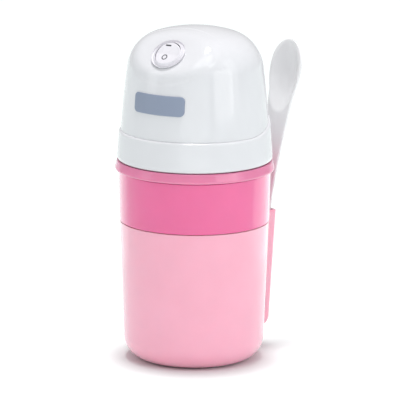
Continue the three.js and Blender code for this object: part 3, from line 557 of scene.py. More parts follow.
def base_pad():
    """The non-slip pad, with shallow ring grooves on its underside."""
    grooves, depth = 5, 0.5
    corners = [(0, 0)]
    for k in range(1, grooves + 1):
        radius = PAD_RADIUS * k / (grooves + 1)
        corners += [
            (radius - 1, 0, 0.15), (radius - 0.7, depth, 0.1),
            (radius + 0.7, depth, 0.1), (radius + 1, 0, 0.15),
        ]
    corners += [(PAD_RADIUS, 0, 0.4), (PAD_RADIUS, PAD_TOP, 0.2), (0, PAD_TOP)]
    return turned("pad_disc", corners, steps=128)


def rounded_box(name, size, bevel):
    """A box about the origin with rounded edges, sizes in millimetres."""
    work = bmesh.new()
    bmesh.ops.create_cube(work, size=1)
    bmesh.ops.scale(work, vec=Vector(size) * MM, verts=work.verts)
    bmesh.ops.bevel(
        work, geom=work.edges[:] + work.verts[:], offset=bevel * MM, segments=4,
        profile=0.5, affect="EDGES",
    )
    mesh = bpy.data.meshes.new(name)
    work.to_mesh(mesh)
    work.free()
    smooth(mesh)
    return linked(name, mesh)


HOLDER_WIDTH = 20.0
HOLDER_WALL = 1.7
HOLDER_BOTTOM = low("spoon_holder")[2]
HOLDER_TOP = high("spoon_holder")[2]
HOLDER_LOW_REACH = 61.0
HOLDER_TOP_REACH = 67.1
HOLDER_CHAMFER = 4.4
HOLDER_BACK = 1.5
HOLDER_GAP = 0.3


def sleeve_radius(height):
    """The sleeve's outer radius at a height, its rounded foot included."""
    above = height - SLEEVE_BOTTOM - FOOT_ROUNDING
    if above >= 0:
        return SLEEVE_LOW_RADIUS + SLEEVE_SLOPE * above
    return SLEEVE_LOW_RADIUS - FOOT_ROUNDING + math.sqrt(FOOT_ROUNDING ** 2 - above ** 2)


def holder_loop(height, reach, inset, corner, steps=6, side=10, back=14, half_front=3):
    """A horizontal loop round the holder at one height, as (outwards, across) points.

    Its back follows the sleeve, and its outer corners are rounded.
    """
    half = HOLDER_WIDTH / 2 - inset
    back_radius = sleeve_radius(height) + HOLDER_GAP + inset * HOLDER_BACK / HOLDER_WALL

    def back_reach(across):
        return math.sqrt(max(back_radius ** 2 - across ** 2, 0))

    front = reach - inset
    side_end = front - corner
    points = []
    for k in range(back + 1):
        across = half - 2 * half * k / back
        points.append((back_reach(across), across))
    for k in range(1, side):
        points.append((back_reach(-half) + (side_end - back_reach(-half)) * k / side, -half))
    for k in range(steps + 1):
        angle = PI / 2 * k / steps
        points.append((
            side_end + corner * math.sin(angle),
            -half + corner - corner * math.cos(angle),
        ))
    for k in range(1, 2 * half_front):
        points.append((front, (-half + corner) * (1 - k / half_front)))
    for k in range(steps + 1):
        angle = PI / 2 * k / steps
        points.append((
            side_end + corner * math.cos(angle),
            half - corner + corner * math.sin(angle),
        ))
    for k in range(1, side):
        points.append((back_reach(half) + (side_end - back_reach(half)) * (1 - k / side), half))
    return points


def lofted(name, loops, matrix):
    """A closed skin over loops of equal length, with flat fans over the first and the last."""
    count = len(loops[0])
    points = [p for loop in loops for p in loop]
    faces = ring_faces(len(loops), count)
    for start, flip in ((0, True), ((len(loops) - 1) * count, False)):
        centre = np.mean([points[start + k] for k in range(count)], axis=0)
        points.append(tuple(centre))
        hub = len(points) - 1
        for k in range(count):
            n = (k + 1) % count
            faces.append((start + n, start + k, hub) if flip else (start + k, start + n, hub))
    return outward(on_axis(mesh_object(name, points, faces), matrix))


def spoon_holder():
    """A pocket with rounded outer corners: up the outside, over the brim and down the inside."""
    foot_rounding = HOLDER_CHAMFER + 1.5
    corner_out, corner_in, brim = 2.2, 1.5, 0.85
    wall_top = HOLDER_TOP - 0.9

    def reach_at(height):
        share = (height - HOLDER_BOTTOM) / (HOLDER_TOP - HOLDER_BOTTOM)
        reach = HOLDER_LOW_REACH + (HOLDER_TOP_REACH - HOLDER_LOW_REACH) * share
        below = foot_rounding - (height - HOLDER_BOTTOM)
        if below > 0:
            reach -= foot_rounding - math.sqrt(max(foot_rounding ** 2 - below ** 2, 0))
        return reach

    loops = []

    def add(height, inset, corner):
        level = max(HOLDER_BOTTOM, min(HOLDER_TOP, height))
        loop = holder_loop(level, reach_at(level), inset, corner)
        loops.append([(x, height, z) for x, z in loop])

    foot_rows, outer_rows, brim_rows, inner_rows = 8, 33, 6, 30
    for k in range(foot_rows + 1):
        angle = PI / 2 * k / foot_rows
        add(HOLDER_BOTTOM + foot_rounding * (1 - math.cos(angle)), 0, corner_out)
    start = HOLDER_BOTTOM + foot_rounding
    for k in range(1, outer_rows + 1):
        add(start + (wall_top - start) * k / outer_rows, 0, corner_out)
    for k in range(1, brim_rows + 1):
        angle = PI * k / brim_rows
        level = HOLDER_TOP - brim + brim * math.sin(angle)
        add(level, HOLDER_WALL / 2 * (1 - math.cos(angle)), corner_out - 0.5 * k / brim_rows)
    floor = HOLDER_BOTTOM + HOLDER_WALL
    for k in range(1, inner_rows + 1):
        add(wall_top - (wall_top - floor - 2) * k / inner_rows, HOLDER_WALL, corner_in)
    add(floor + 0.6, HOLDER_WALL + 0.6, 1.2)
    add(floor, HOLDER_WALL + 1.6, 1.0)
    return lofted("spoon_pocket", loops, spoon_matrix())


# ---- spoon

SPOON_LINE = [(56.7, 31), (60.1, 65), (63.5, 99), (70.4, 147), (80.3, 196), (86.6, 222.8)]
SPOON_EDGE = [
    (5.8, 31), (6.4, 99), (7.9, 125), (10.2, 150), (12.1, 168), (13.0, 176), (14.0, 184),
    (16.3, 192), (17.5, 201),
]
SPOON_TIP = 222.4
SPOON_TIP_FULLNESS = 2.3
SPOON_BROADEST = 201.0
SPOON_THICKNESS = 1.9
SPOON_DEPTH = 5.2
SPOON_HOLLOW_MIDDLE = 196.0
SPOON_HOLLOW_LENGTH = 25.5
SPOON_HOLLOW_WIDTH = 15.0


def through(points, share):
    """A point on the smooth curve through points, at a share of the way along their list."""
    place_on = share * (len(points) - 1)
    i = min(int(place_on), len(points) - 2)
    t = place_on - i
    p = [np.array(points[max(0, min(len(points) - 1, j))], float) for j in range(i - 1, i + 3)]
    return 0.5 * (
        2 * p[1] + (p[2] - p[0]) * t + (2 * p[0] - 5 * p[1] + 4 * p[2] - p[3]) * t ** 2
        + (3 * p[1] - p[0] - 3 * p[2] + p[3]) * t ** 3
    )


def spoon():
    """A shallow oval bowl on a flat handle that leans outwards."""
    spoon_bottom = low("spoon")[2]
    edge = np.array([through(SPOON_EDGE, k / 200) for k in range(201)])
    broadest = SPOON_EDGE[-1][0]
    line = np.array([through(SPOON_LINE, k / 400) for k in range(401)])

    def half_width(height):
        if height >= SPOON_BROADEST:
            share = (height - SPOON_BROADEST) / (SPOON_TIP - SPOON_BROADEST)
            width = broadest * math.sqrt(max(1 - share ** SPOON_TIP_FULLNESS, 0))
        else:
            width = float(np.interp(height, edge[:, 1], edge[:, 0]))
        end = height - spoon_bottom
        rounding = 5.0
        if end < rounding:
            width -= rounding - math.sqrt(max(rounding ** 2 - (rounding - end) ** 2, 0))
        return max(width, 0.05)

    def hollow(height, across):
        """How far the spoon's bowl sags at a place: an oval dish."""
        lengthways = (height - SPOON_HOLLOW_MIDDLE) / SPOON_HOLLOW_LENGTH
        reach = lengthways ** 2 + (across / SPOON_HOLLOW_WIDTH) ** 2
        return SPOON_DEPTH * max(0.0, 1 - reach)

    rows, columns, round_steps, margin = 190, 28, 6, 0.02
    bottom = spoon_bottom + margin
    length = SPOON_TIP - margin - bottom
    heights = [bottom + length * (0.5 - 0.5 * math.cos(PI * k / rows)) for k in range(rows + 1)]
    angles = [PI * k / round_steps for k in range(1, round_steps)]
    loops = []
    for height in heights:
        centre = np.array([float(np.interp(height, line[:, 1], line[:, 0])), height])
        step = 1.0
        ahead = float(np.interp(height + step, line[:, 1], line[:, 0]))
        behind = float(np.interp(height - step, line[:, 1], line[:, 0]))
        along = np.array([ahead - behind, 2 * step])
        along /= np.linalg.norm(along)
        out = np.array([along[1], -along[0]])
        width = half_width(height)
        half = min(SPOON_THICKNESS / 2, width * 0.8)
        flat = width - half

        def skin(across, lift, past=0.0):
            """A point lift off the middle surface, and past the place where the sag is read."""
            return (*(centre + out * (hollow(height, across) + lift)), across + past)

        loop = [skin(-flat + 2 * flat * k / columns, -half) for k in range(columns + 1)]
        loop += [skin(flat, -half * math.cos(a), half * math.sin(a)) for a in angles]
        loop += [skin(flat - 2 * flat * k / columns, half) for k in range(columns + 1)]
        loop += [skin(-flat, half * math.cos(a), -half * math.sin(a)) for a in angles]
        loops.append(loop)
    return lofted("spoon_body", loops, spoon_matrix())


# ---- freezer bowl

def bowl_shell():
    """The freezer bowl's outer shell: a cup whose broad upper band rests on the sleeve."""
    slope = (BOWL_NECK_RADIUS - BOWL_LOW_RADIUS) / (BAND_BOTTOM - BOWL_BOTTOM - BOWL_ROUNDING)
    foot = BOWL_LOW_RADIUS - slope * BOWL_ROUNDING
    inner_floor = BOWL_BOTTOM + BOWL_WALL
    return turned("bowl_outer", [
        (0, BOWL_BOTTOM),
        (foot, BOWL_BOTTOM, BOWL_ROUNDING),
        (BOWL_NECK_RADIUS, BAND_BOTTOM, 0.4),
        (BAND_LOW_RADIUS, BAND_BOTTOM, 0.4),
        (BAND_TOP_RADIUS, BAND_TOP, 0.3),
        (BAND_TOP_RADIUS - BOWL_WALL, BAND_TOP, 0.3),
        (BAND_LOW_RADIUS - BOWL_WALL, BAND_BOTTOM + BOWL_WALL, 0.5),
        (BOWL_NECK_RADIUS - BOWL_WALL, BAND_BOTTOM + BOWL_WALL, 0.5),
        (foot - BOWL_WALL, inner_floor, BOWL_ROUNDING - BOWL_WALL),
        (0, inner_floor),
    ], steps=256, spacing=2.0)


def bowl_rim():
    """The bead round the bowl's mouth, with the tongue that holds it in the shell."""
    return turned("bowl_rim", [
        (RIM_BEAD_RADIUS - 3.0, RIM_BOTTOM, 0.2),
        (RIM_BEAD_RADIUS - 0.1, RIM_BOTTOM + 0.35, 1.2),
        (RIM_BEAD_RADIUS, RIM_BEAD_HEIGHT, 0.6),
        (RIM_TOP_RADIUS, RIM_TOP, 0.9),
        (RIM_BORE, RIM_TOP, 0.7),
        (RIM_BORE, RIM_UNDERSIDE, 0.5),
        (RIM_TONGUE_INNER, RIM_UNDERSIDE, 0.3),
        (RIM_TONGUE_INNER, RIM_TONGUE_BOTTOM, 0.3),
        (RIM_TONGUE_OUTER, RIM_TONGUE_BOTTOM, 0.3),
        (RIM_TONGUE_OUTER, RIM_BOTTOM, 0.2),
    ], steps=256, spacing=1.5)


def bowl_liner():
    """The thin cup that holds the mix, with a flange at its mouth."""
    floor, low_radius, top_radius, rounding, wall = 22.0, 39.5, 41.0, 7.0, 1.0
    return turned("bowl_liner_cup", [
        (0, floor - wall),
        (low_radius + wall - 0.1, floor - wall, rounding + wall),
        (top_radius + wall, LINER_TOP - wall, 0.3),
        (LINER_FLANGE, LINER_TOP - wall, 0.3),
        (LINER_FLANGE, LINER_TOP, 0.3),
        (top_radius, LINER_TOP, 0.8),
        (low_radius - 0.1, floor, rounding),
        (0, floor),
    ])


# ---- mixing lid and paddle

def mixing_lid():
    """A plate with a central collar, a splash skirt, a raised ring and three bayonet lugs."""
    top = high("mixing_lid")[2]
    underside, upper = 145.3, 146.8
    bore, collar, collar_bottom = 7.8, 9.8, 141.6
    skirt_inner, skirt_outer, skirt_bottom = 38.5, 40.3, 138.1
    rim, ring_outer, ring_inner = 49, 47, 45
    plate = turned("lid_plate", [
        (bore, collar_bottom, 0.4),
        (collar, collar_bottom, 0.4),
        (collar, underside, 0.6),
        (skirt_inner, underside, 0.8),
        (skirt_inner, skirt_bottom, 0.5),
        (skirt_outer, skirt_bottom, 0.5),
        (skirt_outer, underside, 0.4),
        (rim, underside, 0.5),
        (rim, upper, 0.5),
        (ring_outer, upper, 0.4),
        (ring_outer, top, 0.3),
        (ring_inner, top, 0.3),
        (ring_inner, upper, 0.4),
        (bore, upper, 0.4),
    ])
    lugs = []
    lug_radius, lug_height, lug_size, lug_bevel = 47.6, 149.05, (11.6, 3.0, 1.5), 0.25
    for azimuth in (60, 180, 300):
        lug = rounded_box(f"lid_lug_{azimuth}", lug_size, lug_bevel)
        angle = math.radians(azimuth)
        turn = Matrix.Rotation(angle, 4, "Z")
        x, y = lug_radius * math.sin(angle), -lug_radius * math.cos(angle)
        middle = Vector((x, y, lug_height)) * MM
        lug.data.transform(Matrix.Translation(middle) @ turn)
        lugs.append(lug)
    return join(plate, *lugs)


def paddle():
    """A flat frame with rounded edges, on a hub that takes the square end of the shaft."""
    half_width, bottom, top, corner = 37.4, 23.6, 122.0, 6.0
    stem, bar, floor_bar, top_bar, hole_corner = 4.5, 5.5, 7.0, 5.5, 3.0
    half_thickness, edge = 1.7, 1.1
    curve = bpy.data.curves.new("paddle_outline", "CURVE")
    curve.dimensions = "2D"
    curve.fill_mode = "BOTH"
    curve.extrude = (half_thickness - edge) * MM
    curve.bevel_depth = edge * MM
    curve.bevel_resolution = 5
    curve.offset = -edge * MM
    curve.resolution_u = 1

    def outline(left, right, low_edge, high_edge, radius):
        loop = []
        for cx, cy, start in (
            (right - radius, low_edge + radius, -90),
            (right - radius, high_edge - radius, 0),
            (left + radius, high_edge - radius, 90),
            (left + radius, low_edge + radius, 180),
        ):
            for k in range(9):
                angle = math.radians(start + 90 * k / 8)
                loop.append((cx + radius * math.cos(angle), cy + radius * math.sin(angle)))
        spline = curve.splines.new("POLY")
        spline.points.add(len(loop) - 1)
        for point, (x, y) in zip(spline.points, loop):
            point.co = (x * MM, y * MM, 0, 1)
        spline.use_cyclic_u = True

    outline(-half_width, half_width, bottom, top, corner)
    low_side, high_side = bottom + floor_bar, top - top_bar
    outline(stem, half_width - bar, low_side, high_side, hole_corner)
    outline(-(half_width - bar), -stem, low_side, high_side, hole_corner)
    flat = linked("paddle_frame", curve)
    bpy.context.view_layer.update()
    graph = bpy.context.evaluated_depsgraph_get()
    mesh = bpy.data.meshes.new_from_object(flat.evaluated_get(graph))
    bpy.data.objects.remove(flat)
    blade = linked("paddle_body", mesh)
    mesh.transform(Matrix.Rotation(PI / 2, 4, "X"))
    smooth(mesh)
    outward(blade)
    hub_radius, hub_bottom, hub_top = 6.5, 116.0, high("paddle")[2]
    mouth_radius, mouth_bottom = 4.3, 146.0
    socket_radius, socket_bottom, socket_top = 3.4, 133.6, 145.6
    hub = turned("paddle_hub", [
        (0, hub_bottom),
        (hub_radius, hub_bottom, 1.2),
        (hub_radius, hub_top, 0.6),
        (mouth_radius, hub_top, 0.3),
        (mouth_radius, mouth_bottom, 0.2),
        (socket_radius, socket_top, 0.2),
        (socket_radius, socket_bottom, 0.2),
        (0, socket_bottom),
    ], steps=64)
    return join(blade, hub)


# ---- motor unit

def parting_rise(azimuth):
    """How far the parting line stands above its level front stretch."""
    turn = abs((azimuth + PI) % (2 * PI) - PI)
    share = max(0.0, (turn - PARTING_START) / (PI - PARTING_START))
    return PARTING_RISE / 2 * (1 - math.cos(PI * share))


def motor_base():
    """The collar with its deck. Its top edge rises at the rear."""
    wall_at_top = 2.5

    def outline(azimuth):
        rise = parting_rise(azimuth)
        top = PARTING_HEIGHT + rise
        top_radius = COLLAR_RADIUS - COLLAR_TAPER * (top - COLLAR_WIDEST)
        inner_top = top_radius - wall_at_top
        corners = [
            (DECK_MIDDLE, DECK_BOTTOM),
            (COLLAR_INNER_RADIUS, DECK_BOTTOM, 0.5),
            (COLLAR_INNER_RADIUS, COLLAR_BOTTOM, 0.4),
            (COLLAR_RADIUS - 0.2, COLLAR_BOTTOM, 2.0),
            (COLLAR_RADIUS, COLLAR_WIDEST, 1.0),
            (top_radius, top, 1.9),
            (inner_top, top, 0.3),
            (COLLAR_INNER_RADIUS, DECK_TOP, 0.5),
            (DECK_BORE, DECK_TOP, 0.3),
            (DECK_BORE, DECK_BOTTOM, 0.3),
            (DECK_MIDDLE, DECK_BOTTOM),
        ]
        return filleted(corners, spacing=NO_EXTRA_POINTS)[:-1]

    return swept("motor_collar", outline, steps=256)


def dome_arcs():
    """The centres of the dome's shoulder and crown arcs, and the angle where they meet."""
    up = np.array([-math.sin(DOME_LEAN), math.cos(DOME_LEAN)])
    inwards = np.array([-math.cos(DOME_LEAN), -math.sin(DOME_LEAN)])
    seat = np.array([DOME_SEAT_RADIUS, DOME_SEAT_HEIGHT])
    start = seat + inwards * DOME_SHOULDER
    crown = np.array([0, DOME_TOP - DOME_CROWN])
    offset = start - crown
    along = float(offset @ up)
    rest = float(offset @ offset) - (DOME_CROWN - DOME_SHOULDER) ** 2
    centre = start + up * (math.sqrt(along ** 2 - rest) - along)
    turn = math.atan2(centre[1] - crown[1], centre[0] - crown[0])
    return centre, crown, turn


def dome_side(bottom, inset, wall_rows=46, shoulder_rows=40, crown_rows=30):
    """The dome's outline from its lower edge to the axis, offset inwards by inset.

    The wall swells slightly half way up and tucks in slightly at its lower edge, where its rows
    are closest together.
    """
    swell, swell_height, tuck, tuck_height, crowding = 0.3, 45.6, 0.2, 3.0, 1.25
    centre, crown, turn = dome_arcs()
    top = centre + DOME_SIDE * (DOME_SHOULDER - inset)
    foot = np.array([top[0] + DOME_SLOPE * (top[1] - bottom), bottom])
    rows = []
    for k in range(wall_rows):
        share = (k / wall_rows) ** crowding
        point = foot + (top - foot) * share
        up = min(1.0, max(0.0, (point[1] - DOME_SEAT_HEIGHT) / swell_height))
        swollen = swell * math.sin(PI * up)
        tucked = tuck * math.exp(-(point[1] - bottom) / tuck_height)
        rows.append((point[0] + swollen - tucked, point[1]))
    for middle, radius, start, end, count in (
        (centre, DOME_SHOULDER - inset, DOME_LEAN, turn, shoulder_rows),
        (crown, DOME_CROWN - inset, turn, PI / 2, crown_rows),
    ):
        for k in range(count):
            angle = start + (end - start) * k / count
            rows.append((
                middle[0] + radius * math.cos(angle), middle[1] + radius * math.sin(angle)))
    rows.append((0.0, DOME_TOP - inset))
    return rows


def soft_cap(distance, crease):
    """min(distance, 0) with its corner rounded over a length."""
    return 0.5 * (distance - math.sqrt(distance ** 2 + crease ** 2))


def motor_cover():
    """The dome: shell, soft-edged switch facet and the hole for the switch."""
    facet_reach = 6

    def outline(azimuth):
        bottom = PARTING_HEIGHT + 0.05 + parting_rise(azimuth)
        outer = dome_side(bottom, 0)
        inner = dome_side(bottom, DOME_WALL)
        return inner[::-1] + outer

    cover = swept("motor_dome", outline, steps=256)
    centre, crown, turn = dome_arcs()
    for vertex in cover.data.vertices:
        place_mm = vertex.co / MM
        radius = math.hypot(place_mm.x, place_mm.y)
        depth = dome_depth(radius, place_mm.z, centre, crown, turn)
        inset = DOME_WALL if depth > DOME_WALL / 2 else 0.0
        distance = (place_mm - FACET_CENTRE).dot(FACET_OUT) + inset
        if distance > -facet_reach:
            vertex.co += FACET_OUT * ((soft_cap(distance, FACET_CREASE) - distance) * MM)
    under, over = -9, 4
    corners = [(0, under), (FACET_HOLE, under, 0), (FACET_HOLE, over, 0), (0, over)]
    cutter = turned("cutter", corners, steps=96)
    on_axis(cutter, facet_matrix())
    return carve(cover, cutter)


def dome_depth(radius, height, centre, crown, turn):
    """How far a point lies inside the dome's outer surface."""
    from_crown = np.array([radius, height]) - crown
    angle = math.atan2(from_crown[1], from_crown[0])
    if angle > turn:
        return DOME_CROWN - float(np.linalg.norm(from_crown))
    from_centre = np.array([radius, height]) - centre
    angle = math.atan2(from_centre[1], from_centre[0])
    if angle > DOME_LEAN:
        return DOME_SHOULDER - float(np.linalg.norm(from_centre))
    return DOME_SHOULDER - float(from_centre @ DOME_SIDE)


def badge():
    """A plain plate with rounded corners that follows the dome's wall."""
    bottom, top = low("badge_plate")[2], high("badge_plate")[2]
    half_width = high("badge_plate")[0]
    middle, half_height = (bottom + top) / 2, (top - bottom) / 2
    corner, thickness, edge, edge_angles = 3.4, 0.7, 0.3, (0.0, 0.5, 1.0)
    wall_swell, columns, rows = 0.25, 64, 12

    def wrapped(across, up, lift):
        wall = DOME_SEAT_RADIUS - DOME_SLOPE * (middle + up - DOME_SEAT_HEIGHT)
        surface = wall + wall_swell + lift
        angle = across / surface
        return (surface * math.sin(angle), -surface * math.cos(angle), middle + up)

    sections = []
    for k in range(columns + 1):
        across = -half_width * math.cos(PI * k / columns)
        overhang = max(0.0, abs(across) - (half_width - corner))
        half = half_height - corner + math.sqrt(max(corner ** 2 - overhang ** 2, 0.0))
        from_end = max(0.0, edge - (half_width - abs(across)))
        front = thickness - edge + math.sqrt(max(edge ** 2 - from_end ** 2, 0.0))
        loop = [(-half + 2 * half * i / rows, 0.0) for i in range(rows + 1)]
        loop += [(half - edge * (1 - math.cos(a)), front - edge * (1 - math.sin(a)))
                 for a in edge_angles]
        loop += [((half - edge) * (1 - 2 * i / rows), front) for i in range(rows + 1)]
        loop += [(-half + edge * (1 - math.cos(a)), front - edge * (1 - math.sin(a)))
                 for a in edge_angles[::-1]]
        sections.append([wrapped(across, up, lift) for up, lift in loop])
    return lofted("badge_panel", sections, Matrix.Identity(4))


def cord_gland():
    """A flanged bush in the collar's rear wall, for the cord."""
    bore, neck, flange, flange_depth = 2.6, 3.9, 5.2, 1.7
    centre_height = (low("cord_gland")[2] + high("cord_gland")[2]) / 2
    outer = high("cord_gland")[1]
    inner = low("cord_gland")[1]
    made = turned("gland_bushing", [
        (bore, inner, 0.3),
        (neck, inner, 0.4),
        (neck, outer - flange_depth, 0.3),
        (flange, outer - flange_depth, 0.3),
        (flange, outer, 0.9),
        (bore, outer, 0.6),
    ], steps=64, spacing=1.0)
    turn = Matrix.Rotation(-PI / 2, 4, "X")
    turn.translation = Vector((0, 0, centre_height))
    return on_axis(made, turn)


# ---- switch

def switch_bezel():
    """The bezel, whose bore closes round the rocker's ball above its pivot."""
    socket_heights = (1.8, 1.2, 0.6, 0.0, -1.0)
    socket = [(math.sqrt(BEZEL_BORE ** 2 - (height + ROCKER_PIVOT) ** 2), height)
              for height in socket_heights]
    made = turned("switch_ring", [
        (BEZEL_BORE, BEZEL_BARREL_DEPTH, 0.2),
        (BEZEL_BARREL, BEZEL_BARREL_DEPTH, 0.3),
        (BEZEL_BARREL, BEZEL_SEAT, 0.1),
        (BEZEL_RADIUS, BEZEL_SEAT, 0.12),
        (BEZEL_RADIUS, BEZEL_TOP, 1.1),
        (BEZEL_MOUTH, BEZEL_TOP, 0.3),
        *socket,
    ], steps=128, spacing=1.0)
    return on_axis(made, facet_matrix())


def rocker_height(slope_place):
    """The rocker's top: level at the front, and rising at the rear from a soft bend."""
    rise = math.tan(ROCKER_TILT)
    bend = 0.5 * (slope_place + math.sqrt(slope_place ** 2 + ROCKER_BEND ** 2))
    return ROCKER_LEVEL + rise * bend


def rocker():
    """A round rocker whose skirt is part of a ball about its pivot."""
    steps, rows, edge_angles = 96, 16, (20, 40, 60, 80)
    skirt_depths, skirt_drop, skirt_top = (1.2, 2.2, 3.4, 4.8), 0.7, 0.3
    outlines = []
    for i in range(steps):
        angle = 2 * PI * i / steps
        reach = ROCKER_BALL
        for _ in range(12):
            top = rocker_height(reach * math.sin(angle)) + ROCKER_PIVOT
            reach = math.sqrt(max(ROCKER_BALL ** 2 - top ** 2, 1))
        outlines.append((angle, reach))
    points = []

    def add_ring(place_at):
        for angle, reach in outlines:
            radius, height = place_at(angle, reach)
            points.append((radius * math.cos(angle), radius * math.sin(angle), height))

    def top_at(angle, radius):
        return rocker_height(radius * math.sin(angle))

    for k in range(1, rows + 1):
        share = k / rows
        add_ring(lambda a, r: ((r - ROCKER_EDGE) * share, top_at(a, (r - ROCKER_EDGE) * share)))
    for turn in edge_angles:
        angle_in = math.radians(turn)
        shift = ROCKER_EDGE * (1 - math.sin(angle_in))
        drop = ROCKER_EDGE * (1 - math.cos(angle_in))
        add_ring(lambda a, r: (r - shift, top_at(a, r - ROCKER_EDGE) - drop))
    for depth in skirt_depths:
        def skirt(a, r):
            height = min(top_at(a, r) - skirt_drop, skirt_top) - depth
            return math.sqrt(max(ROCKER_BALL ** 2 - (height + ROCKER_PIVOT) ** 2, 1)), height
        add_ring(skirt)
    count = len(points) // steps
    faces = ring_faces(count, steps)
    points.append((0, 0, rocker_height(0)))
    top_centre = len(points) - 1
    last = (count - 1) * steps
    points.append((0, 0, points[last][2]))
    bottom_centre = len(points) - 1
    for i in range(steps):
        n = (i + 1) % steps
        faces.append((n, i, top_centre))
        faces.append((last + i, last + n, bottom_centre))
    return outward(on_axis(mesh_object("rocker_cap", points, faces), facet_matrix()))


def rocker_mark(name, loops):
    """A thin printed mark that follows the rocker's top, from an outer and an inner loop."""
    sunk, proud = -0.05, 0.06
    points = []
    for loop in loops:
        for level in (sunk, proud):
            points += [(x, y, rocker_height(y) + level) for x, y in loop]
    count = len(loops[0])
    faces = []
    for a, b in [(0, 1), (1, 3), (3, 2), (2, 0)] if len(loops) == 2 else [(0, 1)]:
        for k in range(count):
            n = (k + 1) % count
            faces.append((a * count + k, a * count + n, b * count + n, b * count + k))
    if len(loops) == 1:
        faces.append(tuple(range(count))[::-1])
        faces.append(tuple(range(count, 2 * count)))
    return outward(on_axis(mesh_object(name, points, faces), facet_matrix()))


def rocker_marks():
    """The usual bar for on and ring for off, the ring slightly taller than wide."""
    half_length, half_width, (bar_x, bar_y) = 2.0, 0.52, (-2.0, 6.4)
    ring_outer, ring_inner, ring_stretch, (ring_x, ring_y) = 2.15, 1.45, 1.1, (-1.7, -2.9)
    bar = []
    for end, start in ((half_length - half_width / 2, -90), (-half_length + half_width / 2, 90)):
        for k in range(9):
            angle = math.radians(start + 180 * k / 8)
            bar.append((
                bar_x + end + half_width * math.cos(angle),
                bar_y + half_width * math.sin(angle),
            ))
    circle = [2 * PI * k / 48 for k in range(48)]
    rings = [
        [(ring_x + radius * math.cos(a), ring_y + radius * ring_stretch * math.sin(a))
         for a in circle]
        for radius in (ring_outer, ring_inner)
    ]
    return rocker_mark("mark_on", [bar]), rocker_mark("mark_off", rings)


# ---- camera, floor and light

CAMERA_AZIMUTH = math.radians(32)
CAMERA_ELEVATION = math.radians(12.5)
CAMERA_ROLL = math.radians(0.35)
CAMERA_DISTANCE = 3.0
VIEW_WIDTH = 0.2857
VIEW_HEIGHT_ON_AXIS = 0.1148
VIEW_RIGHT_OF_AXIS = 0.0039
LIT_POINT = Vector((0, 0, 0.12))


def camera():
    """A long lens that looks slightly down at the machine from the front right."""
    sensor = 36.0
    data = bpy.data.cameras.new("camera")
    data.sensor_width = sensor
    data.lens = sensor * CAMERA_DISTANCE / VIEW_WIDTH
    data.clip_end = 50
    made = linked("camera", data)
    towards = direction(CAMERA_AZIMUTH, CAMERA_ELEVATION)
    right = Vector((math.cos(CAMERA_AZIMUTH), math.sin(CAMERA_AZIMUTH), 0))
    target = Vector((0, 0, VIEW_HEIGHT_ON_AXIS)) + right * VIEW_RIGHT_OF_AXIS
    made.location = target + towards * CAMERA_DISTANCE
    look = towards.to_track_quat("Z", "Y")
    made.rotation_euler = (look.to_matrix() @ Euler((0, 0, CAMERA_ROLL)).to_matrix()).to_euler()
    bpy.context.scene.camera = made


def floor():
    """A wide pale floor."""
    half = 6.0
    made = mesh_object("floor", [Vector(p) / MM for p in (
        (-half, -half, 0), (half, -half, 0), (half, half, 0), (-half, half, 0))], [(0, 1, 2, 3)])
    surface = Surface("pale_floor", 0.9)
    pale, paler = (0.88, 0.945, 0.935, 1), (0.895, 0.96, 0.95, 1)
    surface.colour(surface.ramp(surface.noise(400), pale, paler))
    made.data.materials.append(surface.material)


def placed_light(name, kind, azimuth, elevation, distance, energy):
    """A light that faces the middle of the machine, placed by angles from the camera."""
    data = bpy.data.lights.new(name, kind)
    data.energy = energy
    made = linked(name, data)
    towards = direction(CAMERA_AZIMUTH + math.radians(azimuth), math.radians(elevation))
    made.location = LIT_POINT + towards * distance
    made.rotation_euler = towards.to_track_quat("Z", "Y").to_euler()
    return data


def soft_box(name, azimuth, elevation, distance, size, energy):
    """A rectangular area light, placed in the same way."""
    data = placed_light(name, "AREA", azimuth, elevation, distance, energy)
    data.shape = "RECTANGLE"
    data.size, data.size_y = size


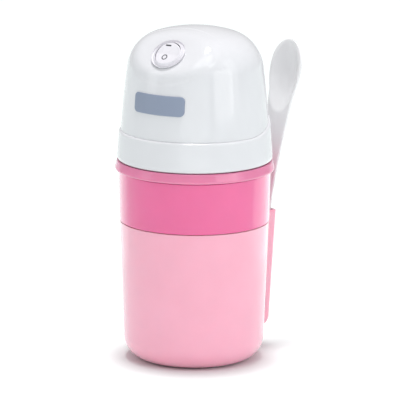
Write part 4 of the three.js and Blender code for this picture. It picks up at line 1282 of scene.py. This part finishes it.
def lighting():
    """Soft studio light: an even surround, light from overhead and soft boxes round the front."""
    world = bpy.data.worlds.new("studio")
    bpy.context.scene.world = world
    world.use_nodes = True
    background = world.node_tree.nodes["Background"]
    background.inputs["Color"].default_value = (1, 1, 1, 1)
    background.inputs["Strength"].default_value = 0.47
    overhead = placed_light("overhead", "SUN", -172, 87, 1.5, 2.1)
    overhead.angle = math.radians(14)
    soft_box("soft_box_top", 5, 58, 1.4, (0.8, 0.8), 3.6)
    soft_box("soft_box_left", -74, 22, 1.3, (0.4, 1.0), 0.95)
    soft_box("soft_box_right", 66, 22, 1.3, (0.4, 1.0), 1.15)
    soft_box("window_right", 47, 13, 0.8, (0.45, 0.3), 0.7)
    soft_box("fill_front", 0, 1, 1.5, (1.2, 0.3), 0.8)
    soft_box("card_right", 124, -14.5, 0.32, (0.33, 0.08), 0.04)
    soft_box("card_left", -134, -14.5, 0.32, (0.18, 0.08), 0.011)


# ---- assembly

camera()
floor()
lighting()

place(base_sleeve(), "base", light_pink, "light_pink_shell", "base_sleeve")
place(spoon_holder(), "base", light_pink, "light_pink_shell", "spoon_holder")
place(base_pad(), "base", rubber, "rubber_grey", "base_pad")
place(spoon(), "spoon", spoon_white, "spoon_white", "spoon")

place(bowl_shell(), "freezer_bowl", deep_pink, "deep_pink_shell", "bowl_shell")
# The rim takes the paler copy of the deep pink, which paints in the light on its bead.
place(bowl_rim(), "freezer_bowl", rim_pink, "deep_pink_shell", "bowl_rim_ring")
place(bowl_liner(), "freezer_bowl", aluminium, "aluminium", "bowl_liner")

place(mixing_lid(), "lid", natural, "natural_plastic", "mixing_lid")
place(paddle(), "output", natural, "natural_plastic", "paddle")

place(motor_base(), "motor_unit", white_gloss, "white_shell", "motor_base")
place(motor_cover(), "motor_unit", white_gloss, "white_shell", "motor_cover")
place(badge(), "motor_unit", brushed_badge(), "badge_blue", "badge_plate")
place(cord_gland(), "motor_unit", white_gloss, "white_shell", "cord_gland")

place(switch_bezel(), "motor_unit", switch_white, "white_shell", "switch_bezel")
place(rocker(), "rocker", switch_white, "white_shell", "switch_rocker")
for mark in rocker_marks():
    place(mark, "rocker", ink, "black_plastic")

finishes = {
    "rubber_grey": rubber,
    "gel": gel,
    "natural_plastic": natural,
    "black_plastic": black,
    "steel": steel,
    "brass": brass,
    "copper_iron": windings(),
    "board_green": circuit_board(),
    "wire_red": wire("red_wire", linear(176, 38, 38)),
    "wire_blue": wire("blue_wire", linear(40, 74, 160)),
}
slots = {part["node"]: part["material_slot"] for part in frame["record"]["subparts"]}
for node, obj in frame["nodes"].items():
    if not obj.hide_render:
        obj.data.materials.clear()
        obj.data.materials.append(finishes[slots[node]])

bpy.context.scene.view_settings.view_transform = "Standard"
